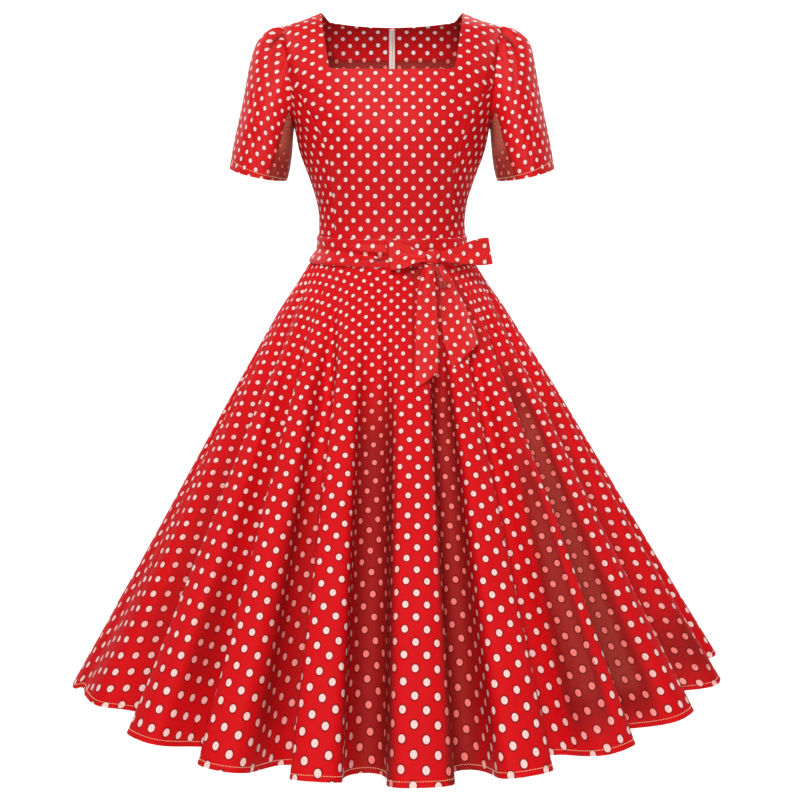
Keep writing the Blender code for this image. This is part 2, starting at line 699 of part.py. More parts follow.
# ------------------------------------------------------------------ sash
def band_point(angle, v):
    """The band's outer face; v runs from its lower edge to its upper edge."""
    height = blend(BAND_BOTTOM, BAND_TOP, v)
    body = torso_round(angle, max(height, WAIST))
    beside = torso_round(angle + 0.01, max(height, WAIST)) - torso_round(angle - 0.01, max(height, WAIST))
    out = Vector((-beside.y, beside.x, 0.0)).normalized() * -1.0
    stand = BAND_EASE + BAND_WALL + max(WAIST - height, 0.0) * BAND_FLARE
    return Vector((body.x, body.y, height)) + out * stand


def band():
    angles = [2 * math.pi * i / BAND_COLUMNS_AROUND for i in range(BAND_COLUMNS_AROUND)]
    shell("sash_band", angles, spread(0.0, 1.0, BAND_ROWS), band_point, wall=BAND_WALL, closed=True)


def band_front(x, height):
    """How far forward the band's outer face stands at a breadth and a height."""
    stand = BAND_EASE + BAND_WALL + max(WAIST - height, 0.0) * BAND_FLARE
    return torso_at(x, WAIST, -1).y - stand


def knot_centre():
    """The knot rests on the flared lower edge of the band."""
    low = KNOT["z"] - KNOT["tall"] * 0.7
    y = band_front(KNOT["x"] - KNOT["across"] * 0.6, low) - KNOT["deep"] + KNOT["sunk"]
    return Vector((KNOT["x"], y, KNOT["z"]))


def knot():
    """The bow's knot, a rounded block pinched at its waist."""
    mesh = bmesh.new()
    bmesh.ops.create_uvsphere(mesh, u_segments=16, v_segments=10, radius=1.0)
    centre = knot_centre()
    for vertex in mesh.verts:
        x, y, z = (math.copysign(abs(value) ** 0.75, value) for value in vertex.co)
        pinch = 1.0 - 0.16 * math.exp(-((z / 0.5) ** 2))
        vertex.co = centre + Vector((x * KNOT["across"] * pinch, y * KNOT["deep"] * pinch, z * KNOT["tall"]))
    return finish_object("bow_knot", mesh)


def loop_path(share, length):
    """Distance out and distance off its middle plane along a loop's folded ribbon."""
    turn = 0.10
    if share < 0.5 - turn:
        out = share / (0.5 - turn)
        return out * (length - LOOP_GAP), -1.0
    if share > 0.5 + turn:
        out = (1.0 - share) / (0.5 - turn)
        return out * (length - LOOP_GAP), 1.0
    angle = math.pi * ((share - 0.5) / turn) / 2
    return length - LOOP_GAP + LOOP_GAP * math.cos(angle), math.sin(angle)


def bow_loop(name):
    """A loop of the bow: a ribbon that runs out from the knot and folds back behind itself."""
    row = dict(zip(LOOP_COLUMNS, LOOPS[name]))
    root = knot_centre()
    start = root + Vector((row["side"] * (KNOT["across"] - row["tuck"]), 0.0030, 0.0))
    end = Vector((root.x + row["side"] * row["length"], row["end_y"], row["end_z"]))
    length = (end - start).length
    along = (end - start).normalized()
    depth = Vector((0.0, 0.0, 1.0)).cross(along).normalized() * row["side"]

    def place(u, v):
        out, off = loop_path(u, length)
        part = max(0.0, min(1.0, out / length))
        height = blend(row["root_height"], row["end_height"], ease(part * 1.15))
        room = blend(LOOP_ROOT_GAP, LOOP_GAP, ease(part * 2.0))
        dent = 0.0007 * math.sin(math.pi * v) * (1.0 - part)
        point = start + along * out + depth * (off * (room - dent))
        point.z += height * (v - 0.5)
        flare = BAND_FLARE * blend(1.0, row["follow"], part)
        point.y -= max(WAIST - point.z, 0.0) * flare
        return point

    us = [0.0, 0.1, 0.2, 0.3, 0.40, 0.44, 0.48, 0.52, 0.56, 0.60, 0.7, 0.8, 0.9, 1.0]
    shell(name, us, spread(0.0, 1.0, 4), place, outward=row["side"], wall=LOOP_WALL)


def skirt_front_at(x, height):
    """The front of the cone that the fold ridges lie on, near the waist."""
    grow = (WAIST - height) * 0.74
    breadth = half_breadth(WAIST) + grow
    depth = half_depth(WAIST, -1) + grow
    share = min(abs(x) / breadth, 1.0)
    return -depth * (1.0 - share**2.1) ** (1 / 2.1)


def sash_end(name):
    """A free end of the sash, hanging down the front of the skirt to a slanted cut."""
    stations = rows_of(TAILS[name], TAIL_COLUMNS)
    longest = stations[-1]["down"]
    curves = {key: Curve([(row["down"], row[key]) for row in stations]) for key in TAIL_COLUMNS[1:]}
    slant = TAIL_SLANT[name]

    def place(u, v):
        down = v * (longest + slant * (0.5 - u) * v)
        x = blend(curves["left_x"](down), curves["right_x"](down), u)
        height = TAIL_TOP - down
        bulge = 0.0030 * math.sin(math.pi * u) * ease(v * 3)
        y = skirt_front_at(x, height) - curves["off"](down) - bulge
        return Vector((x, y, height))

    shell(name, spread(0.0, 1.0, 4), spread(0.0, 1.0, 9), place, outward=-1.0)


# ------------------------------------------------------------------ zip
def back_seam_point(w):
    """The cloth's outer face on the centre back line. w is 1 at the neckline and 0 at the
    waist seam, and below the waist it is minus the share of the skirt's length."""
    if w >= 0:
        height = blend(WAIST, NECK_BACK["centre"], w)
        return Vector((0.0, half_depth(height, 1), height))
    return skirt_point(fold_number(180.0), -w)


def zip_tape(name, sign):
    """Half the zip's tape, inside the back along the opening, on the same rows as the cloth."""

    def place(u, w):
        slope = back_seam_point(w + STEP) - back_seam_point(w - STEP)
        inward = Vector((0.0, -slope.z, slope.y)).normalized()
        x = sign * blend(ZIP_SPLIT, ZIP_HALF_WIDTH, u)
        return Vector((x, back_seam_point(w).y, back_seam_point(w).z)) + inward * (WALL + ZIP_EASE)

    skirt_rows = [-share for share in reversed(SKIRT_ROWS) if 0 < share < ZIP_BELOW_WAIST]
    rows = [-ZIP_BELOW_WAIST] + skirt_rows + BACK_LEVELS[:-1] + [ZIP_TOP]
    shell(name, [0.0, 1.0], rows, place, outward=-sign, wall=TAPE, colour=CREAM)


def box(mesh, low, high):
    """Adds a box between two corners to a bmesh."""
    size = high - low
    made = bmesh.ops.create_cube(mesh, size=1.0)
    for vertex in made["verts"]:
        vertex.co = low + Vector([(c + 0.5) * s for c, s in zip(vertex.co, size)])
    return made["verts"]


def join_tool(first, second, operation):
    """Adds (UNION) or cuts (DIFFERENCE) a second closed object."""
    modifier = first.modifiers.new(operation.lower(), "BOOLEAN")
    modifier.operation = operation
    modifier.object = second
    second.hide_render = True
    second.display_type = "WIRE"
    dress.objects.unlink(second)
    tools.objects.link(second)


def zip_object(name, mesh):
    """Turns a bmesh made lying flat (Z up the zip, Y out of the cloth, the tab's hinge at the
    origin) into an object placed on the slope of the back."""
    foot = Vector((0.0, half_depth(SLIDER["height"], 1), SLIDER["height"]))
    low = SLIDER["height"] - PULL["length"]
    up = (foot - Vector((0.0, half_depth(low, 1), low))).normalized()
    out = Vector((0.0, up.z, -up.y))
    origin = foot + out * HINGE_OUT
    for vertex in mesh.verts:
        x, y, z = vertex.co
        vertex.co = origin + Vector((x, 0.0, 0.0)) + out * y + up * z
    return finish_object(name, mesh, colour=METAL, roughness=0.35, metallic=0.3)


def rod(name, radius, length):
    """A round rod along X through the hinge."""
    mesh = bmesh.new()
    bmesh.ops.create_cone(mesh, cap_ends=True, segments=FACETS, radius1=radius, radius2=radius, depth=length)
    for vertex in mesh.verts:
        vertex.co = Vector((vertex.co.z, vertex.co.x, vertex.co.y))
    return zip_object(name, mesh)


def zip_slider():
    """The slider's body with two cheeks that carry the pull tab's pin."""
    near = SLIDER_LIFT - HINGE_OUT
    top = CHEEK["tall"] / 2 + 0.0010
    half = SLIDER["width"] / 2
    mesh = bmesh.new()
    box(mesh, Vector((-half, near, top - SLIDER["tall"])), Vector((half, near + SLIDER["thick"], top)))
    body = zip_object("zip_slider", mesh)
    inside = PULL["width"] / 2 + FREE
    for name, sign in (("cheek_a", -1.0), ("cheek_b", 1.0)):
        mesh = bmesh.new()
        left, right = sorted((sign * inside, sign * (inside + CHEEK["thick"])))
        low = Vector((left, near + SLIDER["thick"] - 0.0005, -CHEEK["tall"] / 2))
        high = Vector((right, CHEEK["tall"] / 2, CHEEK["tall"] / 2))
        box(mesh, low, high)
        join_tool(body, zip_object(name, mesh), "UNION")
    join_tool(body, rod("pin_hole", PIN_RADIUS + FREE, SLIDER["width"] * 2), "DIFFERENCE")


def zip_pull():
    """The pull tab: a flat drop with a thick eye, and its pin through both cheeks."""
    half_thick = PULL["thick"] / 2
    width = Curve(PULL_SHAPE)
    outline = [(PULL["width"] / 2 * width(down), -down * PULL["length"]) for down, _ in PULL_SHAPE]
    ring = outline + [(-x, z) for x, z in reversed(outline)]
    mesh = bmesh.new()
    near = [mesh.verts.new((x, -half_thick, z)) for x, z in ring]
    far = [mesh.verts.new((x, half_thick, z)) for x, z in ring]
    mesh.faces.new(reversed(near))
    mesh.faces.new(far)
    for i in range(len(ring)):
        k = (i + 1) % len(ring)
        mesh.faces.new((near[i], near[k], far[k], far[i]))
    tab = zip_object("zip_pull_tab", mesh)
    join_tool(tab, rod("eye", PULL["eye"], PULL["width"]), "UNION")
    join_tool(tab, rod("pin", PIN_RADIUS, SLIDER["width"]), "UNION")


# ------------------------------------------------------------------ the dress
for old in list(bpy.data.objects):
    bpy.data.objects.remove(old)

dress = bpy.data.collections.new("swing_dress")
tools = bpy.data.collections.new("boolean_tools")
bpy.context.scene.collection.children.link(dress)
bpy.context.scene.collection.children.link(tools)

front_centre()
front_side("front_bodice_side_left", 1.0)
front_side("front_bodice_side_right", -1.0)
back_panel("back_bodice_left", 1.0)
back_panel("back_bodice_right", -1.0)
sleeve("sleeve_left", 1.0)
sleeve("sleeve_right", -1.0)
skirt_panel("skirt_front", -90.0, 90.0)
skirt_panel("skirt_back_left", 90.0, 180.0)
skirt_panel("skirt_back_right", -180.0, -90.0)
band()
knot()
bow_loop("bow_loop_right")
bow_loop("bow_loop_left")
sash_end("sash_end_front")
sash_end("sash_end_side")
zip_tape("zip_tape_left", 1.0)
zip_tape("zip_tape_right", -1.0)
zip_slider()
zip_pull()
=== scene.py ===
"""The looks of a short-sleeved swing dress in printed cotton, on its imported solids.

Metres, +Z up. The front faces -Y and the wearer's left is +X. Each cloth piece is a fine
shell on the same surface as its solid, with its creases, turned edges, print and sewing.
In the tables a column named width/1000 holds thousandths, one named start/100 hundredths.
"""

from math import log, pi, radians

import bpy
import numpy as np
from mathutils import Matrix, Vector


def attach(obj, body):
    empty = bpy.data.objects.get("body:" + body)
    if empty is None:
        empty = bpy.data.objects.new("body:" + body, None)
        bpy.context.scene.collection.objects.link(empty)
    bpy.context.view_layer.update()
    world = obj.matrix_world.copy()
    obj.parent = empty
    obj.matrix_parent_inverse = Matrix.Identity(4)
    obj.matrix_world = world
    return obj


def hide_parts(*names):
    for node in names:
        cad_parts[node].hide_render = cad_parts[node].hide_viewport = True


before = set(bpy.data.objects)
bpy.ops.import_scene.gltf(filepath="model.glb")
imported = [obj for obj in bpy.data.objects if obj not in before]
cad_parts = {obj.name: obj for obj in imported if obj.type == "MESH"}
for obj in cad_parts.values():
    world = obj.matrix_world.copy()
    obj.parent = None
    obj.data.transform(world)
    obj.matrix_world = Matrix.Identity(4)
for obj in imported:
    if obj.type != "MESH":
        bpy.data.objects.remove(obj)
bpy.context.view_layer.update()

# ---- sizes of the model
SEAM_GAP = 0.0003
HALF_GAP = SEAM_GAP / 2
CLOTH = 0.001  # the shell's thickness
WAIST = -0.362
ROUNDNESS = 2.3

TORSO_COLUMNS = "height/1000 breadth/1000 front/1000 back/1000"
TORSO = (
    (-400, 120.5, 93, 88),
    (-362, 118.5, 90, 84),
    (-336, 117, 89.5, 82.5),
    (-312, 116.5, 91.5, 82.5),
    (-285, 120.5, 97.5, 84),
    (-254, 130, 107, 87),
    (-210, 145.5, 119, 92),
    (-172, 153.5, 123.5, 96),
    (-130, 165, 115, 98.5),
    (-87, 171.5, 100, 96.5),
    (-50, 172.5, 79, 86),
    (-23.6, 166.5, 56, 67),
    (-10, 134.3, 37, 46),
    (0.7, 109, 6, 8),
)
SHOULDER_NECK = (0.109, 0.0007)
SHOULDER_TIP = (0.1665, -0.0236)
NECK_FRONT = {"centre": -0.089, "corner": -0.087, "sleeve": -0.087, "breadth": 0.0935}
NECK_BACK = {"centre": -0.0165, "corner": -0.0105, "sleeve": -0.045, "breadth": 0.098}
STRAP_FROM = 0.6  # the share of a centre panel's breadth where its strap starts
ARMHOLE_TOP = SHOULDER_TIP[1]
ARMHOLE_BOTTOM = -0.17
ARMHOLE_CUT = {-1: radians(25), 1: radians(22)}
PRINCESS_TOP = -0.098
PRINCESS_COLUMNS = "height/1000 breadth/1000"
PRINCESS = ((-362, 88.5), (-318, 89), (-250, 94), (-206, 99), (-168, 115), (-128, 137))

SKIRT_LENGTH = 0.78
VALLEY_LENGTH = 0.762  # of the cloth down a deep valley
DEEP_VALLEY = 0.06  # from a ridge's radius to its valley's
FOLD_START = 0.35  # the share of the skirt's length where the folds are full
HIP_BULGE = 0.008
RIDGE_BREADTH = 1.25
WAIST_BETWEEN = 0.42  # where the gathered waist aims between the ridges and the valleys
FRONT_SLOPE, FRONT_ROUNDNESS = 0.74, 2.1  # of the skirt below the bow
FOLD_COLUMNS = "waist_deg hem_deg ridge/1000 valley/1000 length/1000 lean/100 curl/100"
FOLDS = (
    (-168, -172, 535, 445, 784, 50, 5),
    (-152, -156, 546, 440, 778, 44, 3),
    (-137, -140, 536, 455, 782, 55, 6),
    (-122, -123, 544, 450, 780, 50, 4),
    (-109, -107, 532, 440, 785, 46, 3),
    (-98, -92.5, 518, 455, 799, 50, 5),
    (-87, -76.5, 537, 521, 815, 50, 4),
    (-74, -62.3, 526, 455, 782, 48, 5),
    (-60, -40.2, 546, 455, 777, 42, 6),
    (-46, -25.2, 546, 430, 784, 50, 7),
    (-25, -11, 540, 435, 779, 50, 13),
    (9, 2.7, 548, 445, 783, 66, 7),
    (33, 18.2, 546, 455, 781, 62, 8),
    (52, 34.4, 545, 445, 778, 58, 5),
    (66, 51.2, 548, 460, 777, 55, 5),
    (79, 70, 551, 475, 791, 50, 4),
    (90, 82.5, 546, 450, 792, 50, 4),
    (101, 97, 536, 440, 786, 47, 5),
    (115, 114, 532, 450, 781, 52, 3),
    (131, 132, 548, 445, 778, 50, 6),
    (147, 150, 538, 440, 783, 56, 4),
    (163, 169, 544, 450, 780, 48, 5),
)
FOLD_COUNT = len(FOLDS)

SLEEVE_HEM = {"x": 0.211, "y": -0.01, "z": -0.2435, "across": 0.045, "deep": 0.062}
SLEEVE_HEM_TILT = {"out": 0.01, "forward": 0.004}
# The handles of the curves down the sleeve, at its armhole and its hem: on its top, front,
# back and underside.
SLEEVE_LIFT = ((0.039, 0, 0.029), (0.024, -0.021, -0.024), (0.024, 0.021, -0.024), (0.0035, 0, -0.012))
SLEEVE_FALL = ((-0.026, 0, 0.144), (-0.012, 0, 0.07), (-0.012, 0, 0.07), (-0.011, 0, 0.03))

BAND_TOP = -0.3395
BAND_BOTTOM = -0.38
BAND_STAND = 0.0028  # from the torso to the band's outer face
BAND_FLARE = 0.75

KNOT = {"x": 0.062, "z": -0.3655, "across": 0.012, "deep": 0.008, "tall": 0.0115, "sunk": 0.0017}
LOOP_GAP = 0.004
LOOP_ROOT_GAP = 0.003
LOOP_COLUMNS = (
    "side length/1000 end_y/1000 end_z/1000 end_height/1000 root_height/1000 follow tuck/1000 slant/1000"
)
LOOPS = {
    "bow_loop_right": (-1, 64, -98.3, -362, 42, 14, 1, 1, 6.5),
    "bow_loop_left": (1, 92.5, -74, -358.5, 40, 15, 0.3, 0.3, -7),
}
TAIL_COLUMNS = "down/1000 left_x/1000 right_x/1000 off/1000"
TAILS = {
    "sash_end_front": (
        (0, 49, 66, 12.4),
        (30, 39, 66.5, 10.2),
        (70, 36.2, 68, 7.6),
        (110, 34.6, 69, 6.2),
        (138, 33.8, 68.4, 5.4),
        (157, 33.5, 67.5, 5),
    ),
    "sash_end_side": (
        (0, 64.5, 79, 9.4),
        (28, 72, 95, 4.4),
        (55, 73.5, 108.5, 2.8),
        (85, 75, 121.5, 2.2),
        (110, 78.5, 131, 2.2),
        (128, 85, 134, 2.2),
    ),
}
# How slanted an end is cut, the brown shade behind the knot and how fast that widens.
TAIL_STYLE = {
    "sash_end_front": {"slant": 0.02, "shade": 0.15, "widens": 0},
    "sash_end_side": {"slant": 0.03, "shade": 1.3, "widens": 2.2},
}
TAIL_TOP = -0.3774

ZIP_TOP = 0.998
ZIP_BELOW_WAIST = 0.15
ZIP_HALF_WIDTH = 0.0045
ZIP_DEPTH = 0.0021  # from the back's outer face to the tape

# ---- the print and the sewing
DOT_ACROSS = 0.0229  # from one dot to the next in a row, on the bodice
DOT_DOWN = 0.0248
DOT_RADIUS = 0.144  # in dot spacings
# Where the print starts on each piece, in dot spacings.
PRINT_STARTS = {
    "front": (0.6, 1.05), "side": (0.2, 0.32), "back": (0.48, 0.4), "sleeve": (0.15, 0.15),
    "skirt": (0.46, 0.12), "band": (0.3, 0.62), "knot": (0.1, 0.2), "loop": (0.35, 0.3),
    "end": (0.3, 0.55), "tape": (0, 0),
}
SKIRT_TURN = radians(76)  # how far the straight grain has turned at a side seam
SKIRT_GROW = (0.77, 1.70)  # the length of the print down the skirt, at the waist and the hem
HEM_SHARE = 1 - 0.0075 / SKIRT_LENGTH  # where the hem's stitches run
CUFF_SHARE = 0.9615  # where the cuff's run
STITCH = {"length": 0.0029, "gap": 0.0009, "radius": 0.00052, "stand": 0.00015}
# Rings along a stitch: where, in its lengths, how wide and how high, in its radii.
STITCH_RINGS = ((-0.5, 0.3, -0.9), (-0.32, 0.85, 0.1), (0, 1, 0.45), (0.32, 0.85, 0.1), (0.5, 0.3, -0.9))
EDGE = 0.0022  # the width of a turned edge
EDGE_STEPS = (0.35, 0.8, 1.5, 2.6)  # where rows lie beside an edge, in edge widths
PANEL_SCALE = (0.3, 0.275)  # metres for one share across and up a centre panel, by its edges
NECK_EDGE = 0.0003  # how far the turned neck edge stands out
ARMHOLE_GROOVE = 0.0002  # the armhole's seam lies nearly flat
HEM_GROOVE = 0.0004  # under the stitches of the hem and the cuffs
HEM_FOLD, CUFF_FOLD = 0.0008, 0.0007  # what the turned cloth adds to the thickness
BAND_CLOTH, STRIP_CLOTH, TAPE_CLOTH = 0.0018, 0.0012, 0.0009  # thickness; strip: loops and ends
TIP_RISE = 0.0036  # of the cloth round the shoulder tip
HEAD_DROP = 0.0056  # of the sleeve's head
PUFF = 0.0008  # of the sleeve's cap, just below its seam
PUCKER = 0.0016  # of the skirt, sewn into the waist seam


# ---- small helpers
def vec(x, y, z):
    return np.stack(np.broadcast_arrays(x, y, z), axis=-1).astype(float)


def unit(v):
    return v / np.maximum(np.linalg.norm(v, axis=-1, keepdims=True), 1e-12)


def blend(a, b, share):
    return a + (b - a) * share


def ease(share):
    """0 to 1 with a soft start and end."""
    share = np.clip(share, 0, 1)
    return share * share * (3 - 2 * share)


def bell(distance, width):
    return np.exp(-((distance / width) ** 2))


def bridge(t, p1, p2, slope1, slope2):
    """A smooth step from p1 to p2 that starts and ends with given slopes."""
    start = (1 + 2 * t) * (1 - t) ** 2 * p1 + t * (1 - t) ** 2 * slope1
    return start + t * t * (3 - 2 * t) * p2 - t * t * (1 - t) * slope2


def nearest(values, value):
    return int(np.argmin(np.abs(values - value)))


def rows_of(table, columns):
    parts = [name.partition("/") for name in columns.split()]
    return [{name: value / float(per or 1) for (name, _, per), value in zip(parts, row)} for row in table]


class Curve:
    """A smooth curve through (place, value) pairs, straight beyond both ends."""

    def __init__(self, pairs):
        self.x, self.y = (np.array(values, float) for values in zip(*pairs))
        last = len(self.x) - 1
        before = np.maximum(np.arange(last + 1) - 1, 0)
        after = np.minimum(np.arange(last + 1) + 1, last)
        self.slope = (self.y[after] - self.y[before]) / (self.x[after] - self.x[before])

    def __call__(self, at):
        at = np.asarray(at, float)
        inside = np.clip(at, self.x[0], self.x[-1])
        i = np.clip(np.searchsorted(self.x, inside, side="right") - 1, 0, len(self.x) - 2)
        width = self.x[i + 1] - self.x[i]
        slopes = width * self.slope[i], width * self.slope[i + 1]
        beyond = np.where(at < self.x[0], self.slope[0], self.slope[-1]) * (at - inside)
        return bridge((inside - self.x[i]) / width, self.y[i], self.y[i + 1], *slopes) + beyond


def curves_of(table, columns):
    """A curve for each column against the first one."""
    rows = rows_of(table, columns)
    first, *others = rows[0]
    return {key: Curve([(row[first], row[key]) for row in rows]) for key in others}


# ---- torso and panels
torso = curves_of(TORSO, TORSO_COLUMNS)
princess = curves_of(PRINCESS, PRINCESS_COLUMNS)["breadth"]


def half_breadth(height):
    share = (height - SHOULDER_TIP[1]) / (SHOULDER_NECK[1] - SHOULDER_TIP[1])
    above = blend(SHOULDER_TIP[0], SHOULDER_NECK[0], share)
    return np.where(height <= SHOULDER_TIP[1], torso["breadth"](height), above)


def half_depth(height, side):
    depth = np.where(side < 0, torso["front"](height), torso["back"](height))
    return np.maximum(depth, 1e-4)


def torso_at(x, height, side):
    share = np.minimum(np.abs(x) / half_breadth(height), 1)
    depth = half_depth(height, side) * (1 - share**ROUNDNESS) ** (1 / ROUNDNESS)
    return vec(x, side * depth, height)


def torso_round(angle, height):
    """The point of the torso at an angle round it: 0 is the front, 90 degrees the left side."""
    power = 2 / ROUNDNESS
    sine, cosine = np.sin(angle), np.cos(angle)
    x = half_breadth(height) * np.sign(sine) * np.abs(sine) ** power
    side = np.where(cosine > 0, -1, 1)
    return vec(x, side * half_depth(height, side) * np.abs(cosine) ** power, height)


def torso_normal(point):
    step = 1e-4
    height = point[..., 2]
    side = np.where(point[..., 1] < 0, -1, 1)
    breadth, depth = half_breadth(height), half_depth(height, side)
    widening = (half_breadth(height + step) - half_breadth(height - step)) / (2 * step)
    deepening = (half_depth(height + step, side) - half_depth(height - step, side)) / (2 * step)
    across, along = np.abs(point[..., 0]) / breadth, np.abs(point[..., 1]) / depth
    x = np.copysign(across ** (ROUNDNESS - 1) / breadth, point[..., 0])
    y = np.copysign(along ** (ROUNDNESS - 1) / depth, point[..., 1])
    z = -(across**ROUNDNESS * widening / breadth + along**ROUNDNESS * deepening / depth)
    return unit(vec(x, y, z))


def angle_of(x, height):
    return np.arcsin(np.minimum(np.abs(x) / half_breadth(height), 1) ** (ROUNDNESS / 2))


def armhole_turn(height):
    middle = (ARMHOLE_TOP + ARMHOLE_BOTTOM) / 2
    return np.arccos(np.clip((height - middle) / (ARMHOLE_TOP - middle), -1, 1))


def armhole_angle(turn, side):
    cut = np.where(side < 0, ARMHOLE_CUT[-1], ARMHOLE_CUT[1])
    return pi / 2 - cut * np.abs(np.sin(turn)) ** 0.8


def armhole_height(turn):
    return blend(ARMHOLE_BOTTOM, ARMHOLE_TOP, (1 + np.cos(turn)) / 2)


def armhole_point(turn):
    """The armhole of the wearer's left: turn 0 is the shoulder tip, 90 degrees the front."""
    height = armhole_height(turn)
    side = np.where(np.sin(turn) >= 0, -1, 1)
    x = half_breadth(height) * np.sin(armhole_angle(turn, side)) ** (2 / ROUNDNESS)
    return torso_at(x, height, side)


def armhole_out(turn):
    along = armhole_point(turn + 1e-3) - armhole_point(turn - 1e-3)
    return unit(np.cross(torso_normal(armhole_point(turn)), along))


def princess_angle(height):
    top = armhole_angle(armhole_turn(PRINCESS_TOP), -1)
    low = PRINCESS[-1][0] / 1000
    start = angle_of(princess(low), low)
    slope = (start - angle_of(princess(low - 0.01), low - 0.01)) / 0.01
    share = (height - low) / (PRINCESS_TOP - low)
    above = np.where(share < 1, blend(start + slope * (height - low), top, ease(share)), top)
    return np.where(height < low, angle_of(princess(height), height), above)


def panel_edge(height, side):
    """The outer edge of a centre panel: its long seam, and the armhole above that."""
    hole = armhole_angle(armhole_turn(height), side)
    if side < 0:
        return np.where(height < PRINCESS_TOP, princess_angle(height), hole)
    return np.where(height < ARMHOLE_BOTTOM, pi / 2, hole)


def neck_level(share, side):
    neck = NECK_FRONT if side < 0 else NECK_BACK
    inner, outer = share / STRAP_FROM, (share - STRAP_FROM) / (1 - STRAP_FROM)
    edge = torso_round(panel_edge(neck["sleeve"], side), neck["sleeve"])[..., 0]
    x = np.where(share <= STRAP_FROM, neck["breadth"] * inner, blend(neck["breadth"], edge, outer))
    low, high = blend(neck["centre"], neck["corner"], inner**2), blend(neck["corner"], neck["sleeve"], outer)
    return x, np.where(share <= STRAP_FROM, low, high)


def centre_panel(u, v, side):
    """A front (side -1) or back (side 1) panel. u runs from the centre line to the outer
    edge, v from the waist to the neck level at 1 and the shoulder at 2."""
    share = np.abs(u)
    level_x, level_z = neck_level(share, side)
    edge_x1, edge_z1 = neck_level(1, side)
    v1, v2 = np.minimum(v, 1), np.maximum(v, 1)
    height = blend(WAIST, level_z, v1)
    edge_z = blend(WAIST, edge_z1, v1)
    edge = panel_edge(edge_z, side)
    even_x = torso_round(share * edge, height)[..., 0]
    bent_x = level_x + share**3 * (torso_round(edge, edge_z)[..., 0] - edge_x1)
    x1 = np.where(share < 1 - 1e-9, blend(even_x, bent_x, ease(v1 * 1.1)), even_x)
    part = (share - STRAP_FROM) / (1 - STRAP_FROM)
    rise = 1 - (2 - v2) ** 2
    high = blend(level_z, blend(SHOULDER_NECK[1], SHOULDER_TIP[1], part), rise)
    edge_z = blend(edge_z1, SHOULDER_TIP[1], rise)
    edge_x = torso_round(armhole_angle(armhole_turn(edge_z), side), edge_z)[..., 0]
    x2 = blend(level_x, blend(SHOULDER_NECK[0], SHOULDER_TIP[0], part), rise)
    x2 = x2 + np.maximum(part, 0) * (edge_x - blend(edge_x1, SHOULDER_TIP[0], rise))
    height = np.where(v <= 1, height, high)
    x = np.minimum(np.where(v <= 1, x1, x2), half_breadth(height))
    point = torso_at(x, height, side)
    point[..., 0] *= np.where(u >= 0, 1, -1)
    return point


def side_panel(u, v, sign):
    """A side front, from the princess seam to the side seam, up to the armhole."""
    top = armhole_height(blend(armhole_turn(PRINCESS_TOP), pi, u))
    height = blend(WAIST, top, v)
    seam, top_seam = princess_angle(height), princess_angle(top)
    top_angle = armhole_angle(armhole_turn(top), -1)
    top_share = (top_angle - top_seam) / np.maximum(pi / 2 - top_seam, 1e-9)
    share = blend(u, top_share, ease(v))
    point = torso_round(seam + (pi / 2 - seam) * share, height)
    point[..., 0] *= sign
    return point


# ---- sleeve, skirt, sash
def sleeve_point(turn, share):
    """The wearer's left sleeve. turn 0 is on top, 90 degrees in front; share 1 is the hem."""
    c, s = np.cos(turn), np.sin(turn)
    start = armhole_point(turn) + armhole_out(turn) * SEAM_GAP
    end = vec(
        SLEEVE_HEM["x"] + SLEEVE_HEM["across"] * c,
        SLEEVE_HEM["y"] - SLEEVE_HEM["deep"] * s,
        SLEEVE_HEM["z"] + SLEEVE_HEM_TILT["out"] * c - SLEEVE_HEM_TILT["forward"] * s,
    )
    sides = (np.maximum(c, 0) ** 1.2, np.maximum(s, 0) ** 2, np.maximum(-s, 0) ** 2, np.maximum(-c, 0))
    weights = np.stack(sides, axis=-1)
    weights = weights / weights.sum(axis=-1, keepdims=True)
    t = np.asarray(share, float)[..., None]
    point = start * (1 - t) ** 3 + (start + weights @ np.array(SLEEVE_LIFT)) * 3 * t * (1 - t) ** 2
    return point + (end + weights @ np.array(SLEEVE_FALL)) * 3 * t * t * (1 - t) + end * t**3


fold_rows = rows_of(FOLDS, FOLD_COLUMNS)
fold_table = {key: np.array([row[key] for row in fold_rows]) for key in fold_rows[0]}


def fold_value(key, u):
    """A column of the fold table at fold number u, smooth and going on round the waist."""
    first = np.floor(u).astype(int)
    turn = 360 if key.endswith("_deg") else 0
    near = [first + k for k in (-1, 0, 1, 2)]
    p0, p1, p2, p3 = (fold_table[key][i % FOLD_COUNT] + turn * (i // FOLD_COUNT) for i in near)
    return bridge(u - first, p1, p2, (p2 - p0) / 2, (p3 - p1) / 2)


def fold_phase(u):
    """0 and 1 on the ridges, 0.5 in the middle of the valley."""
    first = np.floor(u).astype(int)
    lean = fold_table["lean"][first % FOLD_COUNT]
    late = (u - first) ** (log(0.5) / np.log(np.maximum(lean, 0.5)))
    early = 1 - (1 - (u - first)) ** (log(0.5) / np.log(1 - np.minimum(lean, 0.5)))
    return np.where(lean >= 0.5, late, early)


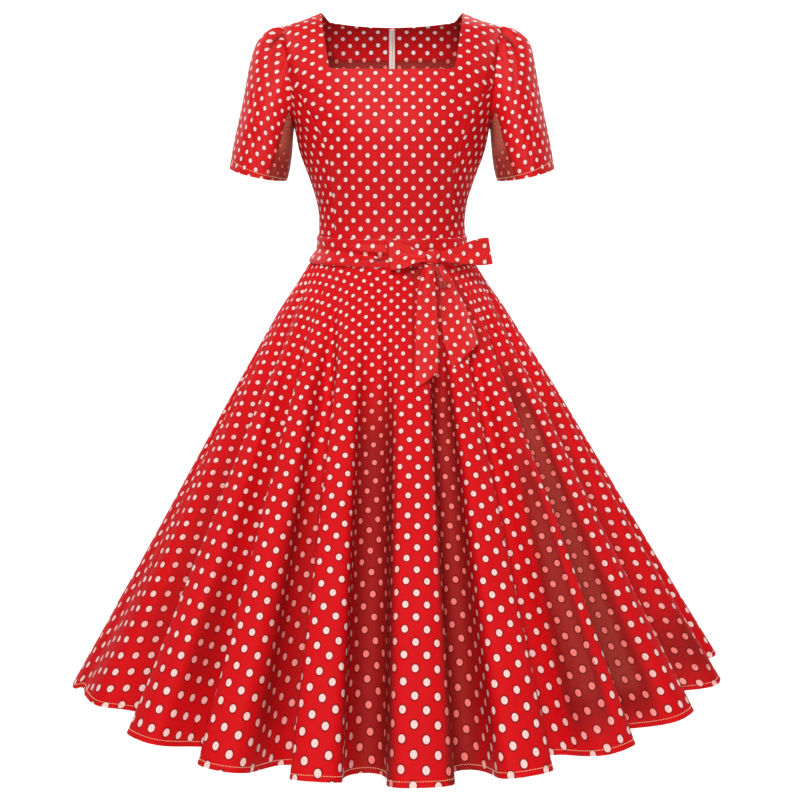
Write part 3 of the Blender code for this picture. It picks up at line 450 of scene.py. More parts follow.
def skirt_point(u, share):
    """The skirt's outer face. u counts folds, share runs from the waist seam to the hem."""
    first = np.floor(u)
    phase = fold_phase(u)
    opened = ease(share / FOLD_START)
    dip = np.sin(pi * phase) ** (2 * RIDGE_BREADTH)
    ridge, valley = fold_value("ridge", u), fold_value("valley", first)
    radius = blend(ridge, fold_value("valley", u - 0.5), WAIST_BETWEEN)
    radius = blend(radius, blend(ridge, valley, dip), opened)
    spacing = fold_value("hem_deg", first + 1) - fold_value("hem_deg", first)
    curl = fold_value("curl", u) * spacing * np.sin(4 * pi * phase) * opened
    angle = np.radians(fold_value("hem_deg", u) + curl)
    waist = torso_round(np.radians(fold_value("waist_deg", u)), np.full_like(u, WAIST))
    across = vec(radius * np.sin(angle), -radius * np.cos(angle), 0) - vec(waist[..., 0], waist[..., 1], 0)
    short = dip * np.minimum((ridge - valley) / DEEP_VALLEY, 1)
    length = blend(fold_value("length", u), VALLEY_LENGTH, blend(WAIST_BETWEEN, short, opened))
    drop = np.sqrt(length**2 - (across**2).sum(axis=-1))
    bulge = HIP_BULGE * ease((share - 0.03) / 0.12) * (1 - ease((share - 0.15) / 0.8))
    point = waist + (across - vec(0, 0, drop)) * share[..., None]
    return point + unit(across) * bulge[..., None]


def fold_number(hem_deg):
    low, high = -1, FOLD_COUNT + 1
    for _ in range(60):
        middle = (low + high) / 2
        if fold_value("hem_deg", np.array(middle)) < hem_deg:
            low = middle
        else:
            high = middle
    return low


def band_stand(height):
    return BAND_STAND + np.maximum(WAIST - height, 0) * BAND_FLARE


def band_point(angle, v):
    height = blend(BAND_BOTTOM, BAND_TOP, v)
    level = np.maximum(height, WAIST)
    body = torso_round(angle, level)
    beside = torso_round(angle + 0.01, level) - torso_round(angle - 0.01, level)
    out = -unit(vec(-beside[..., 1], beside[..., 0], 0))
    return vec(body[..., 0], body[..., 1], height) + out * band_stand(height)[..., None]


def knot_centre():
    low = KNOT["z"] - KNOT["tall"] * 0.7
    front = torso_at(KNOT["x"] - KNOT["across"] * 0.6, WAIST, -1)[..., 1] - band_stand(low)
    return np.array([KNOT["x"], float(front - KNOT["deep"] + KNOT["sunk"]), KNOT["z"]])


def loop_path(share, length):
    """Distance out and distance off its middle plane along a loop's folded ribbon."""
    turn = 0.1
    angle = pi * ((share - 0.5) / turn) / 2
    near = np.minimum(share, 1 - share) / (0.5 - turn)
    in_turn = np.abs(share - 0.5) <= turn
    out = np.where(in_turn, length - LOOP_GAP + LOOP_GAP * np.cos(angle), near * (length - LOOP_GAP))
    return out, np.where(in_turn, np.sin(angle), np.sign(share - 0.5))


def loop_point(row, u, v):
    root = knot_centre()
    start = root + np.array([row["side"] * (KNOT["across"] - row["tuck"]), 0.003, 0])
    end = np.array([root[0] + row["side"] * row["length"], row["end_y"], row["end_z"]])
    length = np.linalg.norm(end - start)
    along = (end - start) / length
    depth = unit(np.cross([0, 0, 1], along)) * row["side"]
    out, off = loop_path(u, length)
    part = np.clip(out / length, 0, 1)
    height = blend(row["root_height"], row["end_height"], ease(part * 1.15))
    room = blend(LOOP_ROOT_GAP, LOOP_GAP, ease(part * 2))
    dent = 0.0007 * np.sin(pi * v) * (1 - part)
    point = start + along * out[..., None] + depth * (off * (room - dent))[..., None]
    point[..., 2] += height * (v - 0.5)
    flare = BAND_FLARE * blend(1, row["follow"], part)
    point[..., 1] -= np.maximum(WAIST - point[..., 2], 0) * flare
    return point


def skirt_front_at(x, height):
    grow = (WAIST - height) * FRONT_SLOPE
    share = np.minimum(np.abs(x) / (half_breadth(WAIST) + grow), 1)
    return -(half_depth(WAIST, -1) + grow) * (1 - share**FRONT_ROUNDNESS) ** (1 / FRONT_ROUNDNESS)


def tail_point(name, u, v):
    curves = curves_of(TAILS[name], TAIL_COLUMNS)
    down = v * (TAILS[name][-1][0] / 1000 + TAIL_STYLE[name]["slant"] * (0.5 - u) * v)
    x = blend(curves["left_x"](down), curves["right_x"](down), u)
    height = TAIL_TOP - down
    bulge = 0.003 * np.sin(pi * u) * ease(v * 3)
    return vec(x, skirt_front_at(x, height) - curves["off"](down) - bulge, height)


def back_seam_point(w):
    """The cloth's outer face on the centre back line, w from the waist at 0 to the neck."""
    height = blend(WAIST, NECK_BACK["centre"], np.maximum(w, 0))
    above = vec(0, half_depth(height, 1), height)
    below = skirt_point(np.full_like(w, fold_number(180)), np.maximum(-w, 0))
    return np.where((w >= 0)[..., None], above, below)


# ---- grids of cloth
def spread(low, high, count):
    return np.linspace(low, high, count + 1)


def merged(*parts):
    return np.unique(np.round(np.concatenate(parts), 9))


def with_edges(values, near, ends=(True, True)):
    """Adds places close to the ends of a range, where the cloth rolls over an edge."""
    steps = near * np.array(EDGE_STEPS)
    return merged(values, values[0] + steps * ends[0], values[-1] - steps * ends[1])


def grid(us, vs):
    return np.meshgrid(us, vs, indexing="ij")


def grid_normals(points, closed, out_sign):
    """Unit normals of a grid of points, pointing out of the garment."""
    if closed:
        wrapped = np.concatenate([points[-2:-1], points, points[1:2]])
        along = wrapped[2:] - wrapped[:-2]
    else:
        along = np.gradient(points, axis=0)
    return unit(np.cross(along, np.gradient(points, axis=1))) * out_sign


def arc(points, axis):
    """Length along a grid's rows or columns, from the first."""
    steps = np.linalg.norm(np.diff(points, axis=axis), axis=-1)
    return np.insert(np.cumsum(steps, axis=axis), 0, 0, axis=axis)


def pushed(points, normals, amount):
    return points + normals * np.broadcast_to(amount, points.shape[:2])[..., None]


def creased(points, across, down, normals, table):
    """Moves a grid along its normals by a table of soft troughs (depth below 0) and ridges,
    each along a line between two places on the flat cloth."""
    moved = np.zeros(points.shape[:2])
    for row in rows_of(table, CREASE_COLUMNS):
        start = np.array([row["a1"], row["d1"]])
        line = np.array([row["a2"], row["d2"]]) - start
        length = np.linalg.norm(line)
        line = line / length
        x, y = across - start[0], down - start[1]
        along = (x * line[0] + y * line[1]) / length
        off = x * line[1] - y * line[0] + row["bow"] * np.sin(pi * np.clip(along, 0, 1))
        fade = ease(along / 0.35 + 0.5) * ease((1 - along) / 0.35 + 0.5)
        width = row["width"]
        moved += row["depth"] * (bell(off, width) - 0.35 * bell(np.abs(off) - 2 * width, width)) * fade
    return pushed(points, normals, moved)


def add_mesh(name, vertices, faces, uvs=None, shade=None):
    """A smooth mesh object; cloth also has print coordinates and a painted shade."""
    mesh = bpy.data.meshes.new(name)
    mesh.from_pydata(np.asarray(vertices).tolist(), [], faces)
    if uvs is not None:
        mesh.uv_layers.new(name="print").data.foreach_set("uv", uvs.astype(np.float32).reshape(-1))
        mesh.attributes.new("shade", "FLOAT", "POINT").data.foreach_set("value", shade.astype(np.float32))
    mesh.shade_smooth()
    made = bpy.data.objects.new(name, mesh)
    bpy.context.scene.collection.objects.link(made)
    return made


def cloth_mesh(
    name, points, normals, out_sign, print_uv,
    closed=False, present=None, thickness=CLOTH, shade=0, inside_shade=None,
):
    """A closed thin shell from a grid of outer points, with its print coordinates. present says
    which cells are cloth; shade and lining are the painted shade of the outside and the inside."""
    nu, nv = points.shape[:2]
    inner = pushed(points, normals, -1 * thickness)
    uv_ids = np.arange(nu * nv).reshape(nu, nv)
    ids = uv_ids.copy()
    if closed:
        ids[-1] = ids[0]
    cells = np.ones((nu - 1, nv - 1), bool) if present is None else present
    order = int(out_sign)

    def corners(kept):
        i, j = np.nonzero(kept)
        return (i, j), (i + 1, j), (i + 1, j + 1), (i, j + 1)

    ring = corners(cells)[::order]
    quads, quad_uvs = (np.stack([table[c] for c in ring], axis=1) for table in (ids, uv_ids))
    faces, uvs = [quads, quads[:, ::-1] + nu * nv], [quad_uvs, quad_uvs[:, ::-1]]
    padded = np.pad(cells, 1)
    if closed:
        padded[0], padded[-1] = padded[-2], padded[1]
    for (di, dj), (a, b) in {(-1, 0): (0, 3), (1, 0): (2, 1), (0, -1): (1, 0), (0, 1): (3, 2)}.items():
        ends = corners(cells & ~padded[1 + di : nu + di, 1 + dj : nv + dj])
        first, second = (ends[a], ends[b])[::order]
        p, q = ids[first], ids[second]
        faces.append(np.stack([q + nu * nv, p + nu * nv, p, q], axis=1))
        uvs.append(np.stack([uv_ids[second], uv_ids[first], uv_ids[first], uv_ids[second]], axis=1))
    faces = np.concatenate(faces)
    used, kept = np.unique(faces, return_inverse=True)
    vertices = np.concatenate([points.reshape(-1, 3), inner.reshape(-1, 3)])[used]
    outside = np.broadcast_to(shade, (nu, nv))
    inside = outside if inside_shade is None else inside_shade
    values = np.concatenate([outside.reshape(-1), inside.reshape(-1)])[used]
    flat = print_uv.reshape(-1, 2)[np.concatenate(uvs).reshape(-1)]
    made = add_mesh(name, vertices, kept.reshape(faces.shape).tolist(), flat, values)
    made.data.set_sharp_from_angle(angle=radians(55))
    return made


def finish_piece(made, node, material):
    made.data.materials.append(material)
    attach(made, "garment")
    if node:
        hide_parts(node)
    return made


# ---- materials
class Nodes:
    """A short way to write node trees."""

    def __init__(self, name):
        self.material = bpy.data.materials.new(name)
        self.material.use_nodes = True
        self.tree = self.material.node_tree
        self.shader = self.tree.nodes["Principled BSDF"]

    def set(self, node, inputs):
        for key, value in inputs.items():
            if isinstance(value, bpy.types.NodeSocket):
                self.tree.links.new(value, node.inputs[key])
            else:
                node.inputs[key].default_value = value
        return node

    def new(self, kind, inputs=None, **settings):
        node = self.tree.nodes.new(kind)
        for key, value in settings.items():
            setattr(node, key, value)
        return self.set(node, inputs or {})

    def math(self, operation, a, b=0):
        return self.new("ShaderNodeMath", {0: a, 1: b, 2: 0}, operation=operation).outputs[0]

    def vector(self, operation, a, b=(0, 0, 0)):
        node = self.new("ShaderNodeVectorMath", {0: a, 1: b}, operation=operation)
        return node.outputs["Value"] if operation == "LENGTH" else node.outputs[0]

    def ramp(self, value, low, high, to_low=0, to_high=1):
        inputs = {"Value": value, "From Min": low, "From Max": high, "To Min": to_low, "To Max": to_high}
        return self.new("ShaderNodeMapRange", inputs, interpolation_type="SMOOTHSTEP").outputs[0]

    def mix(self, share, a, b, blend_type="MIX"):
        inputs = {0: share, 6: a, 7: b}
        return self.new("ShaderNodeMix", inputs, data_type="RGBA", blend_type=blend_type).outputs[2]

    def noise(self, vector, scale, detail=3):
        inputs = {"Vector": vector, "Scale": scale, "Detail": detail, "Roughness": 0.55}
        return self.new("ShaderNodeTexNoise", inputs).outputs["Fac"]

    def bump(self, strength, distance, height):
        inputs = {"Strength": strength, "Distance": distance, "Height": height}
        return self.new("ShaderNodeBump", inputs).outputs[0]

    def print_place(self):
        return self.new("ShaderNodeUVMap", uv_map="print").outputs[0]

    def weave(self, uv, threads):
        """Height of a plain weave: threads going over and under each other."""
        turned = self.vector("MULTIPLY", uv, (pi * threads, pi * threads, 0))
        x, y = self.new("ShaderNodeSeparateXYZ", {0: turned}).outputs[:2]
        return self.math("ABSOLUTE", self.math("MULTIPLY", self.math("SINE", x), self.math("SINE", y)))

    def finished(self, inputs):
        self.set(self.shader, inputs)
        return self.material


def rgb(red, green, blue):
    return (red, green, blue, 1)


def dimmed(colour, share):
    return rgb(*(value * share for value in colour[:3]))


RED = rgb(0.6, 0.0026, 0.0058)
DEEP_RED = rgb(0.52, 0.0015, 0.003)
# The bow's red is painted lighter than RED: a painted highlight for the light the bow catches.
BOW_RED_PAINTED_LIGHT = rgb(0.65, 0.0105, 0.011)
SHADE_RED = rgb(0.285, 0.0075, 0.007)  # the cotton where the painted shade is 1
UNDER_RED = rgb(0.46, 0.125, 0.083)  # and where it is 2
DOT_WHITE = rgb(0.9, 0.59, 0.55)
DOT_THIN = rgb(0.8, 0.45, 0.42)  # the ink between two threads
# The ink where the painted shade is 1, and where it is 2.
DOT_SHADE = rgb(0.84, 0.19, 0.17)
UNDER_INK = rgb(0.64, 0.13, 0.1)
DOT_INSIDE = rgb(1, 0.83, 0.85)  # the ink where the painted shade is -1, on the inside of the back: dots painted lighter there, a painted lightening
RIM_SHADE = rgb(0.34, 0.28, 0.28)  # the dark rim round a dot
ENAMEL, WORN_ENAMEL = rgb(0.52, 0.018, 0.02), rgb(0.6, 0.34, 0.3)
TAPE_WHITE = rgb(0.98, 0.88, 0.82)
THREADS_PER_DOT = 44  # threads of the weave from one dot to the next
DOT_BLUR = 0.012  # of a dot's edge, in dot spacings


def printed_cotton(name, roughness, specular, red=RED):
    n = Nodes(name)
    uv = n.print_place()
    shade = n.new("ShaderNodeAttribute", attribute_name="shade").outputs["Fac"]
    half = (0.5, 0.5, 0)
    shifted = n.vector("ADD", uv, half)
    centred, between = (n.vector("SUBTRACT", n.vector("FRACTION", place), half) for place in (uv, shifted))
    from_dot = n.math("MINIMUM", n.vector("LENGTH", centred), n.vector("LENGTH", between))
    ragged = n.noise(uv, 22, 2)
    from_dot = n.math("ADD", from_dot, n.math("MULTIPLY", n.math("SUBTRACT", ragged, 0.5), 0.012))
    dot = n.ramp(from_dot, DOT_RADIUS + DOT_BLUR, DOT_RADIUS - DOT_BLUR)
    cloudy = n.noise(uv, 0.35)
    base = n.mix(n.ramp(cloudy, 0.35, 0.7), red, DEEP_RED)
    base = n.mix(0.35, red, base)
    # Painted shade from the shade attribute: from 0 to 1 the red darkens to SHADE_RED, from 1 to 2 it turns
    # brown, and below 0 the dots are painted lighter.
    base = n.mix(n.ramp(shade, 0, 1), base, SHADE_RED)
    deep = n.ramp(shade, 1, 2)
    base = n.mix(deep, base, UNDER_RED)
    threads = n.weave(uv, THREADS_PER_DOT)
    ink = n.mix(n.ramp(threads, 0, 0.5, 0.3, 0), DOT_WHITE, DOT_THIN)
    ink = n.mix(n.ramp(shade, 0, -1), ink, DOT_INSIDE)
    ink = n.mix(n.math("MINIMUM", n.math("MULTIPLY", shade, 1.5), 1), ink, DOT_SHADE)
    ink = n.mix(deep, ink, UNDER_INK)
    rim = n.ramp(from_dot, DOT_RADIUS + 0.085, DOT_RADIUS + 0.015)
    base = n.mix(rim, base, RIM_SHADE, "MULTIPLY")
    colour = n.mix(dot, base, ink)
    rough = n.ramp(threads, 0, 1, roughness + 0.14, roughness)
    crumple = n.noise(uv, 3, 4)
    height = n.math("ADD", n.math("MULTIPLY", threads, 0.1), n.math("MULTIPLY", crumple, 0.6))
    inputs = {"Base Color": colour, "Roughness": rough, "Specular IOR Level": specular}
    return n.finished({**inputs, "Normal": n.bump(0.35, 0.0006, height)})


def plain_thread(name, colour):
    n = Nodes(name)
    twist = n.noise(n.new("ShaderNodeTexCoord").outputs["Object"], 900, 1)
    twisted = n.mix(twist, dimmed(colour, 0.7), colour)
    return n.finished({"Base Color": twisted, "Roughness": 0.6, "Sheen Weight": 0.2})


def woven_tape(name, colour):
    n = Nodes(name)
    threads = n.weave(n.print_place(), 60)
    woven = n.mix(threads, dimmed(colour, 0.92), colour)
    return n.finished({"Base Color": woven, "Roughness": 0.8, "Normal": n.bump(0.4, 0.0003, threads)})


def enamelled_metal(name):
    n = Nodes(name)
    place = n.new("ShaderNodeTexCoord").outputs["Object"]
    worn = n.ramp(n.noise(place, 420, 4), 0.6, 0.72)
    colour = n.mix(worn, ENAMEL, WORN_ENAMEL)
    rough = n.ramp(n.noise(place, 260, 3), 0.3, 0.7, 0.24, 0.42)
    gloss = {"Metallic": 0.35, "Coat Weight": 0.5, "Coat Roughness": 0.2}
    return n.finished({"Base Color": colour, "Roughness": rough, **gloss})


cotton = printed_cotton("printed_cotton", 0.66, 0.13)
pressed_cotton = printed_cotton("pressed_cotton", 0.5, 0.2)  # a little shinier, above the waist
bow_cotton_painted_light = printed_cotton("bow_cotton_painted_light", 0.5, 0.2, BOW_RED_PAINTED_LIGHT)  # painted lighter, as in the photo: a painted highlight for the light the bow catches
hem_thread = plain_thread("hem_thread", rgb(0.95, 0.56, 0.32))
tape_cloth = woven_tape("tape_cloth", TAPE_WHITE)
zip_metal = enamelled_metal("zip_metal")


# ---- sewing
def add_tubes(name, points, material):
    """Closed tubes as one mesh, from points by tube, ring and corner."""
    ids = np.arange(points[..., 0].size).reshape(points.shape[:3])
    after = np.roll(ids, -1, axis=2)
    walls = np.stack([ids[:, :-1], after[:, :-1], after[:, 1:], ids[:, 1:]], axis=-1)
    faces = walls.reshape(-1, 4).tolist() + ids[:, 0, ::-1].tolist() + ids[:, -1].tolist()
    finish_piece(add_mesh(name, points.reshape(-1, 3), faces), None, material)


def stitches(name, path, normals):
    """A row of separate stitches along a line on the cloth."""
    along = arc(path[:, None], 0)[:, 0]
    count = max(int(along[-1] / (STITCH["length"] + STITCH["gap"])), 1)
    middles = (np.arange(count) + 0.5) * along[-1] / count
    turns = (2 * pi * np.arange(6) / 6)[:, None]

    def at(distance, values):
        return np.stack([np.interp(distance, along, values[:, k]) for k in range(3)], axis=1)

    rings = []
    for station, width, height in STITCH_RINGS:
        place = middles + station * STITCH["length"]
        up = unit(at(place, normals))
        ahead = unit(at(place + 1e-4, path) - at(place - 1e-4, path))
        centre = at(place, path) + up * (STITCH["stand"] + height * STITCH["radius"])
        out = np.cross(ahead, up)[:, None] * np.cos(turns) + up[:, None] * np.sin(turns)
        rings.append(centre[:, None] + out * STITCH["radius"] * width)
    add_tubes(name, np.stack(rings, axis=1), hem_thread)


# ---- bodice
# Each crease runs from across a1, down d1 to a2, d2 on the flat cloth. down starts at the
# waist, or at the armhole on a sleeve. bow is how far its middle bends aside.
CREASE_COLUMNS = "a1/1000 d1/1000 a2/1000 d2/1000 width/1000 depth/1000 bow/1000"
FRONT_CREASES = (
    (150, 225, 85, 196, 6, -1.6, 4),
    (-150, 225, -82, 200, 6.5, -1.8, -4),
    (120, 252, 94, 232, 4.5, -1, 0),
    (-125, 250, -98, 236, 4.5, -1.1, 0),
    (60, 118, 92, 60, 6, -1, 3),
    (-58, 110, -90, 56, 6, -1.1, -3),
    (-30, 52, -85, 34, 5, -0.8, 3),
    (28, 48, 82, 30, 5, -0.8, -3),
    (10, 30, -50, 22, 4.5, -0.6, 0),
)
SIDE_CREASES = (
    (10, 180, 60, 200, 5, -1.8, 2),
    (4, 150, 48, 186, 4.5, -1.4, 2),
    (0, 122, 40, 140, 4.5, -1.2, -2),
    (4, 92, 36, 104, 4, -1.2, 1),
    (0, 66, 34, 74, 4, -1.1, -1),
    (4, 42, 36, 48, 3.8, -1, 1),
    (14, 20, 18, 110, 4.2, -0.9, 2),
    (28, 12, 30, 90, 4, -0.8, -2),
)
BACK_CREASES = (
    (20, 60, 100, 34, 6, -1.6, 4),
    (14, 88, 88, 72, 6, -1.3, -3),
    (40, 118, 110, 96, 5.5, -1.1, 3),
    (150, 196, 108, 172, 6, -1.7, 3),
    (146, 226, 112, 214, 5, -1.2, 0),
    (60, 30, 118, 16, 4.5, -0.9, 2),
)


def seam_dip(gap, depth=0.0008, width=0.0018):
    """The groove where a panel's edge is turned into a seam, at a distance from the edge."""
    return -depth * bell(gap, width)


def strap_shift(points, across, neck_row, column, sign):
    """What is added to the places across a strap, so that its inner edge keeps its drift."""
    drift = np.abs(points[column, :, 0]) - abs(points[column, neck_row, 0])
    late = np.arange(points.shape[1]) > neck_row
    return np.where(late, across[column, neck_row] - across[column] + sign * drift, 0)


def resized(places, old_rows, new_rows, old_columns, new_columns):
    """A grid of flat places read off at other rows and columns."""

    def read(values, old, new):
        lines = values.reshape(len(old), -1).T
        return np.stack([np.interp(new, old, line) for line in lines], axis=1).reshape(len(new), -1, 2)

    rows = read(places, old_rows, new_rows)
    return read(rows.swapaxes(0, 1), old_columns, new_columns).swapaxes(0, 1)


def settled(flat, points, rounds):
    """Moves flat places until their distances to their neighbours are those on the cloth."""
    pairs = []
    for di, dj in ((1, 0), (0, 1), (1, 1), (1, -1)):
        first = (slice(0, -1 if di else None), slice(1, None) if dj < 0 else slice(0, -1 if dj else None))
        second = (slice(di, None), slice(0, -1) if dj < 0 else slice(dj, None))
        pairs.append((first, second, np.linalg.norm(points[second] - points[first], axis=-1)))
    for _ in range(rounds):
        pull, count = np.zeros_like(flat), np.zeros(flat.shape[:2])
        for first, second, true_length in pairs:
            step = flat[second] - flat[first]
            length = np.maximum(np.linalg.norm(step, axis=-1), 1e-9)
            change = step * ((true_length / length - 1) / 2)[..., None]
            pull[second] += change
            pull[first] -= change
            count[second] += 1
            count[first] += 1
        flat = flat + 0.9 * pull / count[..., None]
    return flat


def pressed_flat(flat, points, every=(4, 3), rounds=(500, 60)):
    """Places on the flat cloth for a grid of points: a coarse grid is settled first."""
    all_places = [np.arange(size) for size in points.shape[:2]]
    few = [np.unique(np.append(places[::step], places[-1])) for places, step in zip(all_places, every)]
    coarse = settled(flat[np.ix_(*few)], points[np.ix_(*few)], rounds[0])
    return settled(resized(coarse, few[0], all_places[0], few[1], all_places[1]), points, rounds[1])


def front_print(points, across, down):
    """Flat places on the front: evened to the photo, and following x above the bust, where
    the cloth leans back and the rows of dots lie closer together."""
    reach = np.linspace(0, 0.5, 501)
    even = ease((reach - 0.09) / 0.08)
    closer = 0.18 * ease((reach - 0.198) / 0.02) + 0.09 * ease((reach - 0.27) / 0.03)
    rate = blend(0.962, 1.016, even) * (1 + closer)
    length = np.concatenate([[0], np.cumsum((rate[1:] + rate[:-1]) / 2 * np.diff(reach))])
    x = np.abs(points[..., 0])
    level = np.copysign(1.03 * x - 0.12 * np.maximum(x - 0.07, 0), points[..., 0])
    across = across * blend(0.99, 1.007, np.interp(down, reach, even))
    across = blend(across, level, ease((points[..., 2] + 0.185) / 0.06))
    return across, np.interp(down, reach, length)


def to_print(across, down, piece, dot_down=DOT_DOWN):
    return np.stack([across / DOT_ACROSS, down / dot_down], axis=-1) + PRINT_STARTS[piece]


def centre_shares(inner, outer):
    """The columns of a centre panel, closer together at its outer edge and beside its strap."""
    near = EDGE / PANEL_SCALE[0]
    shares = spread(0, STRAP_FROM, inner), spread(STRAP_FROM, 1, outer)
    return merged(*shares, 1 - near * np.array(EDGE_STEPS), STRAP_FROM + near * np.array([-1, -0.4, 0.4, 1]))


def centre_rows(count, strap_count):
    return merged(spread(0, 1, count), [0.992, 0.997], spread(1, 2, strap_count))


def centre_cells(us, vs, neck_row):
    """Which cells of a centre panel are cloth: all below the neck level, and the straps."""
    in_strap = (np.abs(us[1:] + us[:-1]) / 2)[:, None] > STRAP_FROM
    return in_strap | (np.arange(len(vs) - 1)[None, :] < neck_row)


def tip_lift(points):
    """Raises the cloth round the shoulder tip, where strap and sleeve join in one line."""
    out = np.hypot(np.abs(points[..., 0]) - SHOULDER_TIP[0], points[..., 1])
    points[..., 2] += TIP_RISE * bell(out, 0.022) * ease((points[..., 2] + 0.06) / 0.04)
    return points


def front_centre():
    half = centre_shares(26, 18)
    us = np.unique(np.concatenate([-half, half]))
    vs = centre_rows(84, 24)
    u, v = grid(us, vs)
    points = tip_lift(centre_panel(u, v, -1))
    points[..., 1] = np.minimum(points[..., 1], -HALF_GAP)
    normals = torso_normal(points)
    neck_row = nearest(vs, 1)
    across, down = arc(points, 0), arc(points, 1)
    edge = np.minimum(across, across[-1] - across)
    across = across - across[nearest(us, 0)]
    for sign in (-1, 1):
        shift = strap_shift(points, across, neck_row, nearest(us, sign * STRAP_FROM), sign)
        across = across + np.outer(us * sign >= STRAP_FROM - 1e-6, shift)
    flat = front_print(points, across, down)
    points = creased(points, across, down, normals, FRONT_CREASES)
    seam_depth = blend(0.0008, ARMHOLE_GROOVE, ease((points[..., 2] - PRINCESS_TOP) / 0.02 + 0.5))
    points = pushed(points, normals, seam_dip(edge, seam_depth))
    inside_strap = np.abs(np.abs(u) - STRAP_FROM) * PANEL_SCALE[0]
    near_neck = np.where(v <= 1, (1 - v) * PANEL_SCALE[1], inside_strap)
    near_neck = np.where((v <= 1) & (np.abs(u) > STRAP_FROM), 1, near_neck)
    points = pushed(points, normals, NECK_EDGE * bell(near_neck, EDGE))
    print_uv = to_print(*flat, "front")
    present = centre_cells(us, vs, neck_row)
    made = cloth_mesh("front_centre_cloth", points, normals, 1, print_uv, present=present)
    finish_piece(made, "front_bodice_centre", pressed_cotton)


def front_side(name, node, sign):
    us = with_edges(spread(0, 1, 26), EDGE / 0.09)
    vs = with_edges(spread(0, 1, 84), EDGE / 0.24, (False, True))
    points = side_panel(*grid(us, vs), sign)
    points[..., 1] = np.minimum(points[..., 1], -HALF_GAP)
    normals = torso_normal(points)
    across, down = arc(points, 0), arc(points, 1)
    from_top = down[:, -1:] - down
    groove = seam_dip(np.minimum(across, across[-1] - across)) + seam_dip(from_top, ARMHOLE_GROOVE)
    points = creased(points, across, down, normals, SIDE_CREASES)
    points = pushed(points, normals, groove)
    print_uv = to_print(sign * across * 1.1, (points[..., 2] - WAIST) * 1.02, "side")
    # Painted shade under the arm, along the top of the side panel below the armhole.
    underarm_shade = 0.8 * bell(from_top, 0.012) * ease((us[:, None] - 0.35) / 0.3)
    made = cloth_mesh(name, points, normals, sign, print_uv, shade=underarm_shade)
    finish_piece(made, node, cotton)


def back_half(name, node, sign):
    us = np.sort(sign * with_edges(centre_shares(26, 18), EDGE / PANEL_SCALE[0], (True, False)))
    vs = centre_rows(96, 18)
    points = tip_lift(centre_panel(*grid(us, vs), 1))
    points[..., 0] = sign * np.maximum(np.abs(points[..., 0]), HALF_GAP)
    points[..., 1] = np.maximum(points[..., 1], HALF_GAP)
    normals = torso_normal(points)
    neck_row = nearest(vs, 1)
    across, down = arc(points, 0), arc(points, 1)
    across = across - across[nearest(us, 0)]
    across = across + strap_shift(points, across, neck_row, nearest(us, sign * STRAP_FROM), sign)
    distance = np.abs(across)
    points = creased(points, distance, down, normals, BACK_CREASES)
    points = pushed(points, normals, seam_dip(np.minimum(distance, distance.max(axis=0) - distance)))
    # Painted shade on the inside of the back: strong and turning brown low down, just above the front
    # neckline, lighter at the outer corners, and below 0 in between, where the dots are painted lighter.
    corner = ease((np.abs(points[..., 0]) - 0.06) / 0.05)
    low = ease(((NECK_BACK["centre"] - points[..., 2]) / 0.1 - 0.42) / 0.1)
    inside_shade = 1.25 * low + (0.55 * corner - 0.8 * (1 - corner)) * (1 - low)
    print_uv = to_print(across, down, "back")
    present = centre_cells(us, vs, neck_row)
    made = cloth_mesh(name, points, normals, -1, print_uv, present=present, inside_shade=inside_shade)
    finish_piece(made, node, pressed_cotton)


# ---- sleeves
# Pleats of the cap: where each starts round the armhole, how far it drifts round over its
# reach down the sleeve, its depth (above 0 stands out), that reach and its width.
PLEAT_COLUMNS = "round_deg drift_deg depth/1000 reach/100 width_deg"
PLEATS = (
    (-52, -4, 2.2, 34, 10),
    (-30, -2, 3, 46, 10),
    (-10, 0, 3, 36, 10),
    (12, 3, 2.6, 50, 8),
    (34, 8, 3.4, 58, 10),
    (55, 8, 2, 38, 10),
    (29, 20, -8.5, 38, 4.5),
    (19, 12, 4, 40, 5),
    (41, 18, 3, 46, 5),
    (31, 76, -3.4, 60, 4.5),
    (56, 22, -2.6, 34, 4),
    (72, 14, -2.2, 46, 5),
    (2, 6, -3, 26, 5),
    (-20, -10, -4.8, 36, 6),
    (-42, -14, -2.6, 62, 6),
    (-66, -8, -1.6, 40, 6),
)
SLEEVE_CREASES = (
    (100, 110, 62, 170, 7, -2, 6),
    (60, 90, 90, 150, 6, -1.4, 4),
    (150, 60, 120, 120, 6, -1.6, -4),
    (-80, 100, -50, 165, 7, -1.8, 5),
    (-120, 70, -140, 130, 6, -1.4, -4),
)
# Corrections to the outline: where down the sleeve, how long, how far outward on each side.
OUTLINE_COLUMNS = "share/100 reach/100 right/1000 left/1000"
SLEEVE_OUTLINE = (
    (40, 15, 1.8, 5),
    (74, 15, -3.2, -2.4),
)
# Lines of shade in the pleats: where each starts round the armhole, how far it drifts over
# the whole sleeve, where it starts and ends down the sleeve, half its width, its strength.
PLEAT_SHADE_COLUMNS = "round_deg drift_deg start/100 end/100 width_deg strength/100"
PLEAT_SHADES = (
    (29, 54, 0, 30, 3.4, 115),
    (31, 126, 10, 46, 3, 50),
    (-22, -40, 0, 30, 3.4, 60),
)


def sleeve_relief(round_deg, share, side):
    """How far the puff and the pleats of the cap and the outline's corrections stand out."""
    moved = PUFF * bell(round_deg, 34) * ease(share / 0.05) * (1 - ease((share - 0.04) / 0.16))
    for row in rows_of(PLEATS, PLEAT_COLUMNS):
        down_it = share / row["reach"]
        off_line = round_deg - row["round_deg"] - row["drift_deg"] * down_it
        fade = ease(share / 0.05) * (1 - ease(down_it))
        moved += row["depth"] * bell(off_line, row["width_deg"] * (1 + 0.8 * down_it)) * fade
    for row in rows_of(SLEEVE_OUTLINE, OUTLINE_COLUMNS):
        moved += row[side] * bell(share - row["share"], row["reach"]) * bell(round_deg - 15, 50)
    return moved


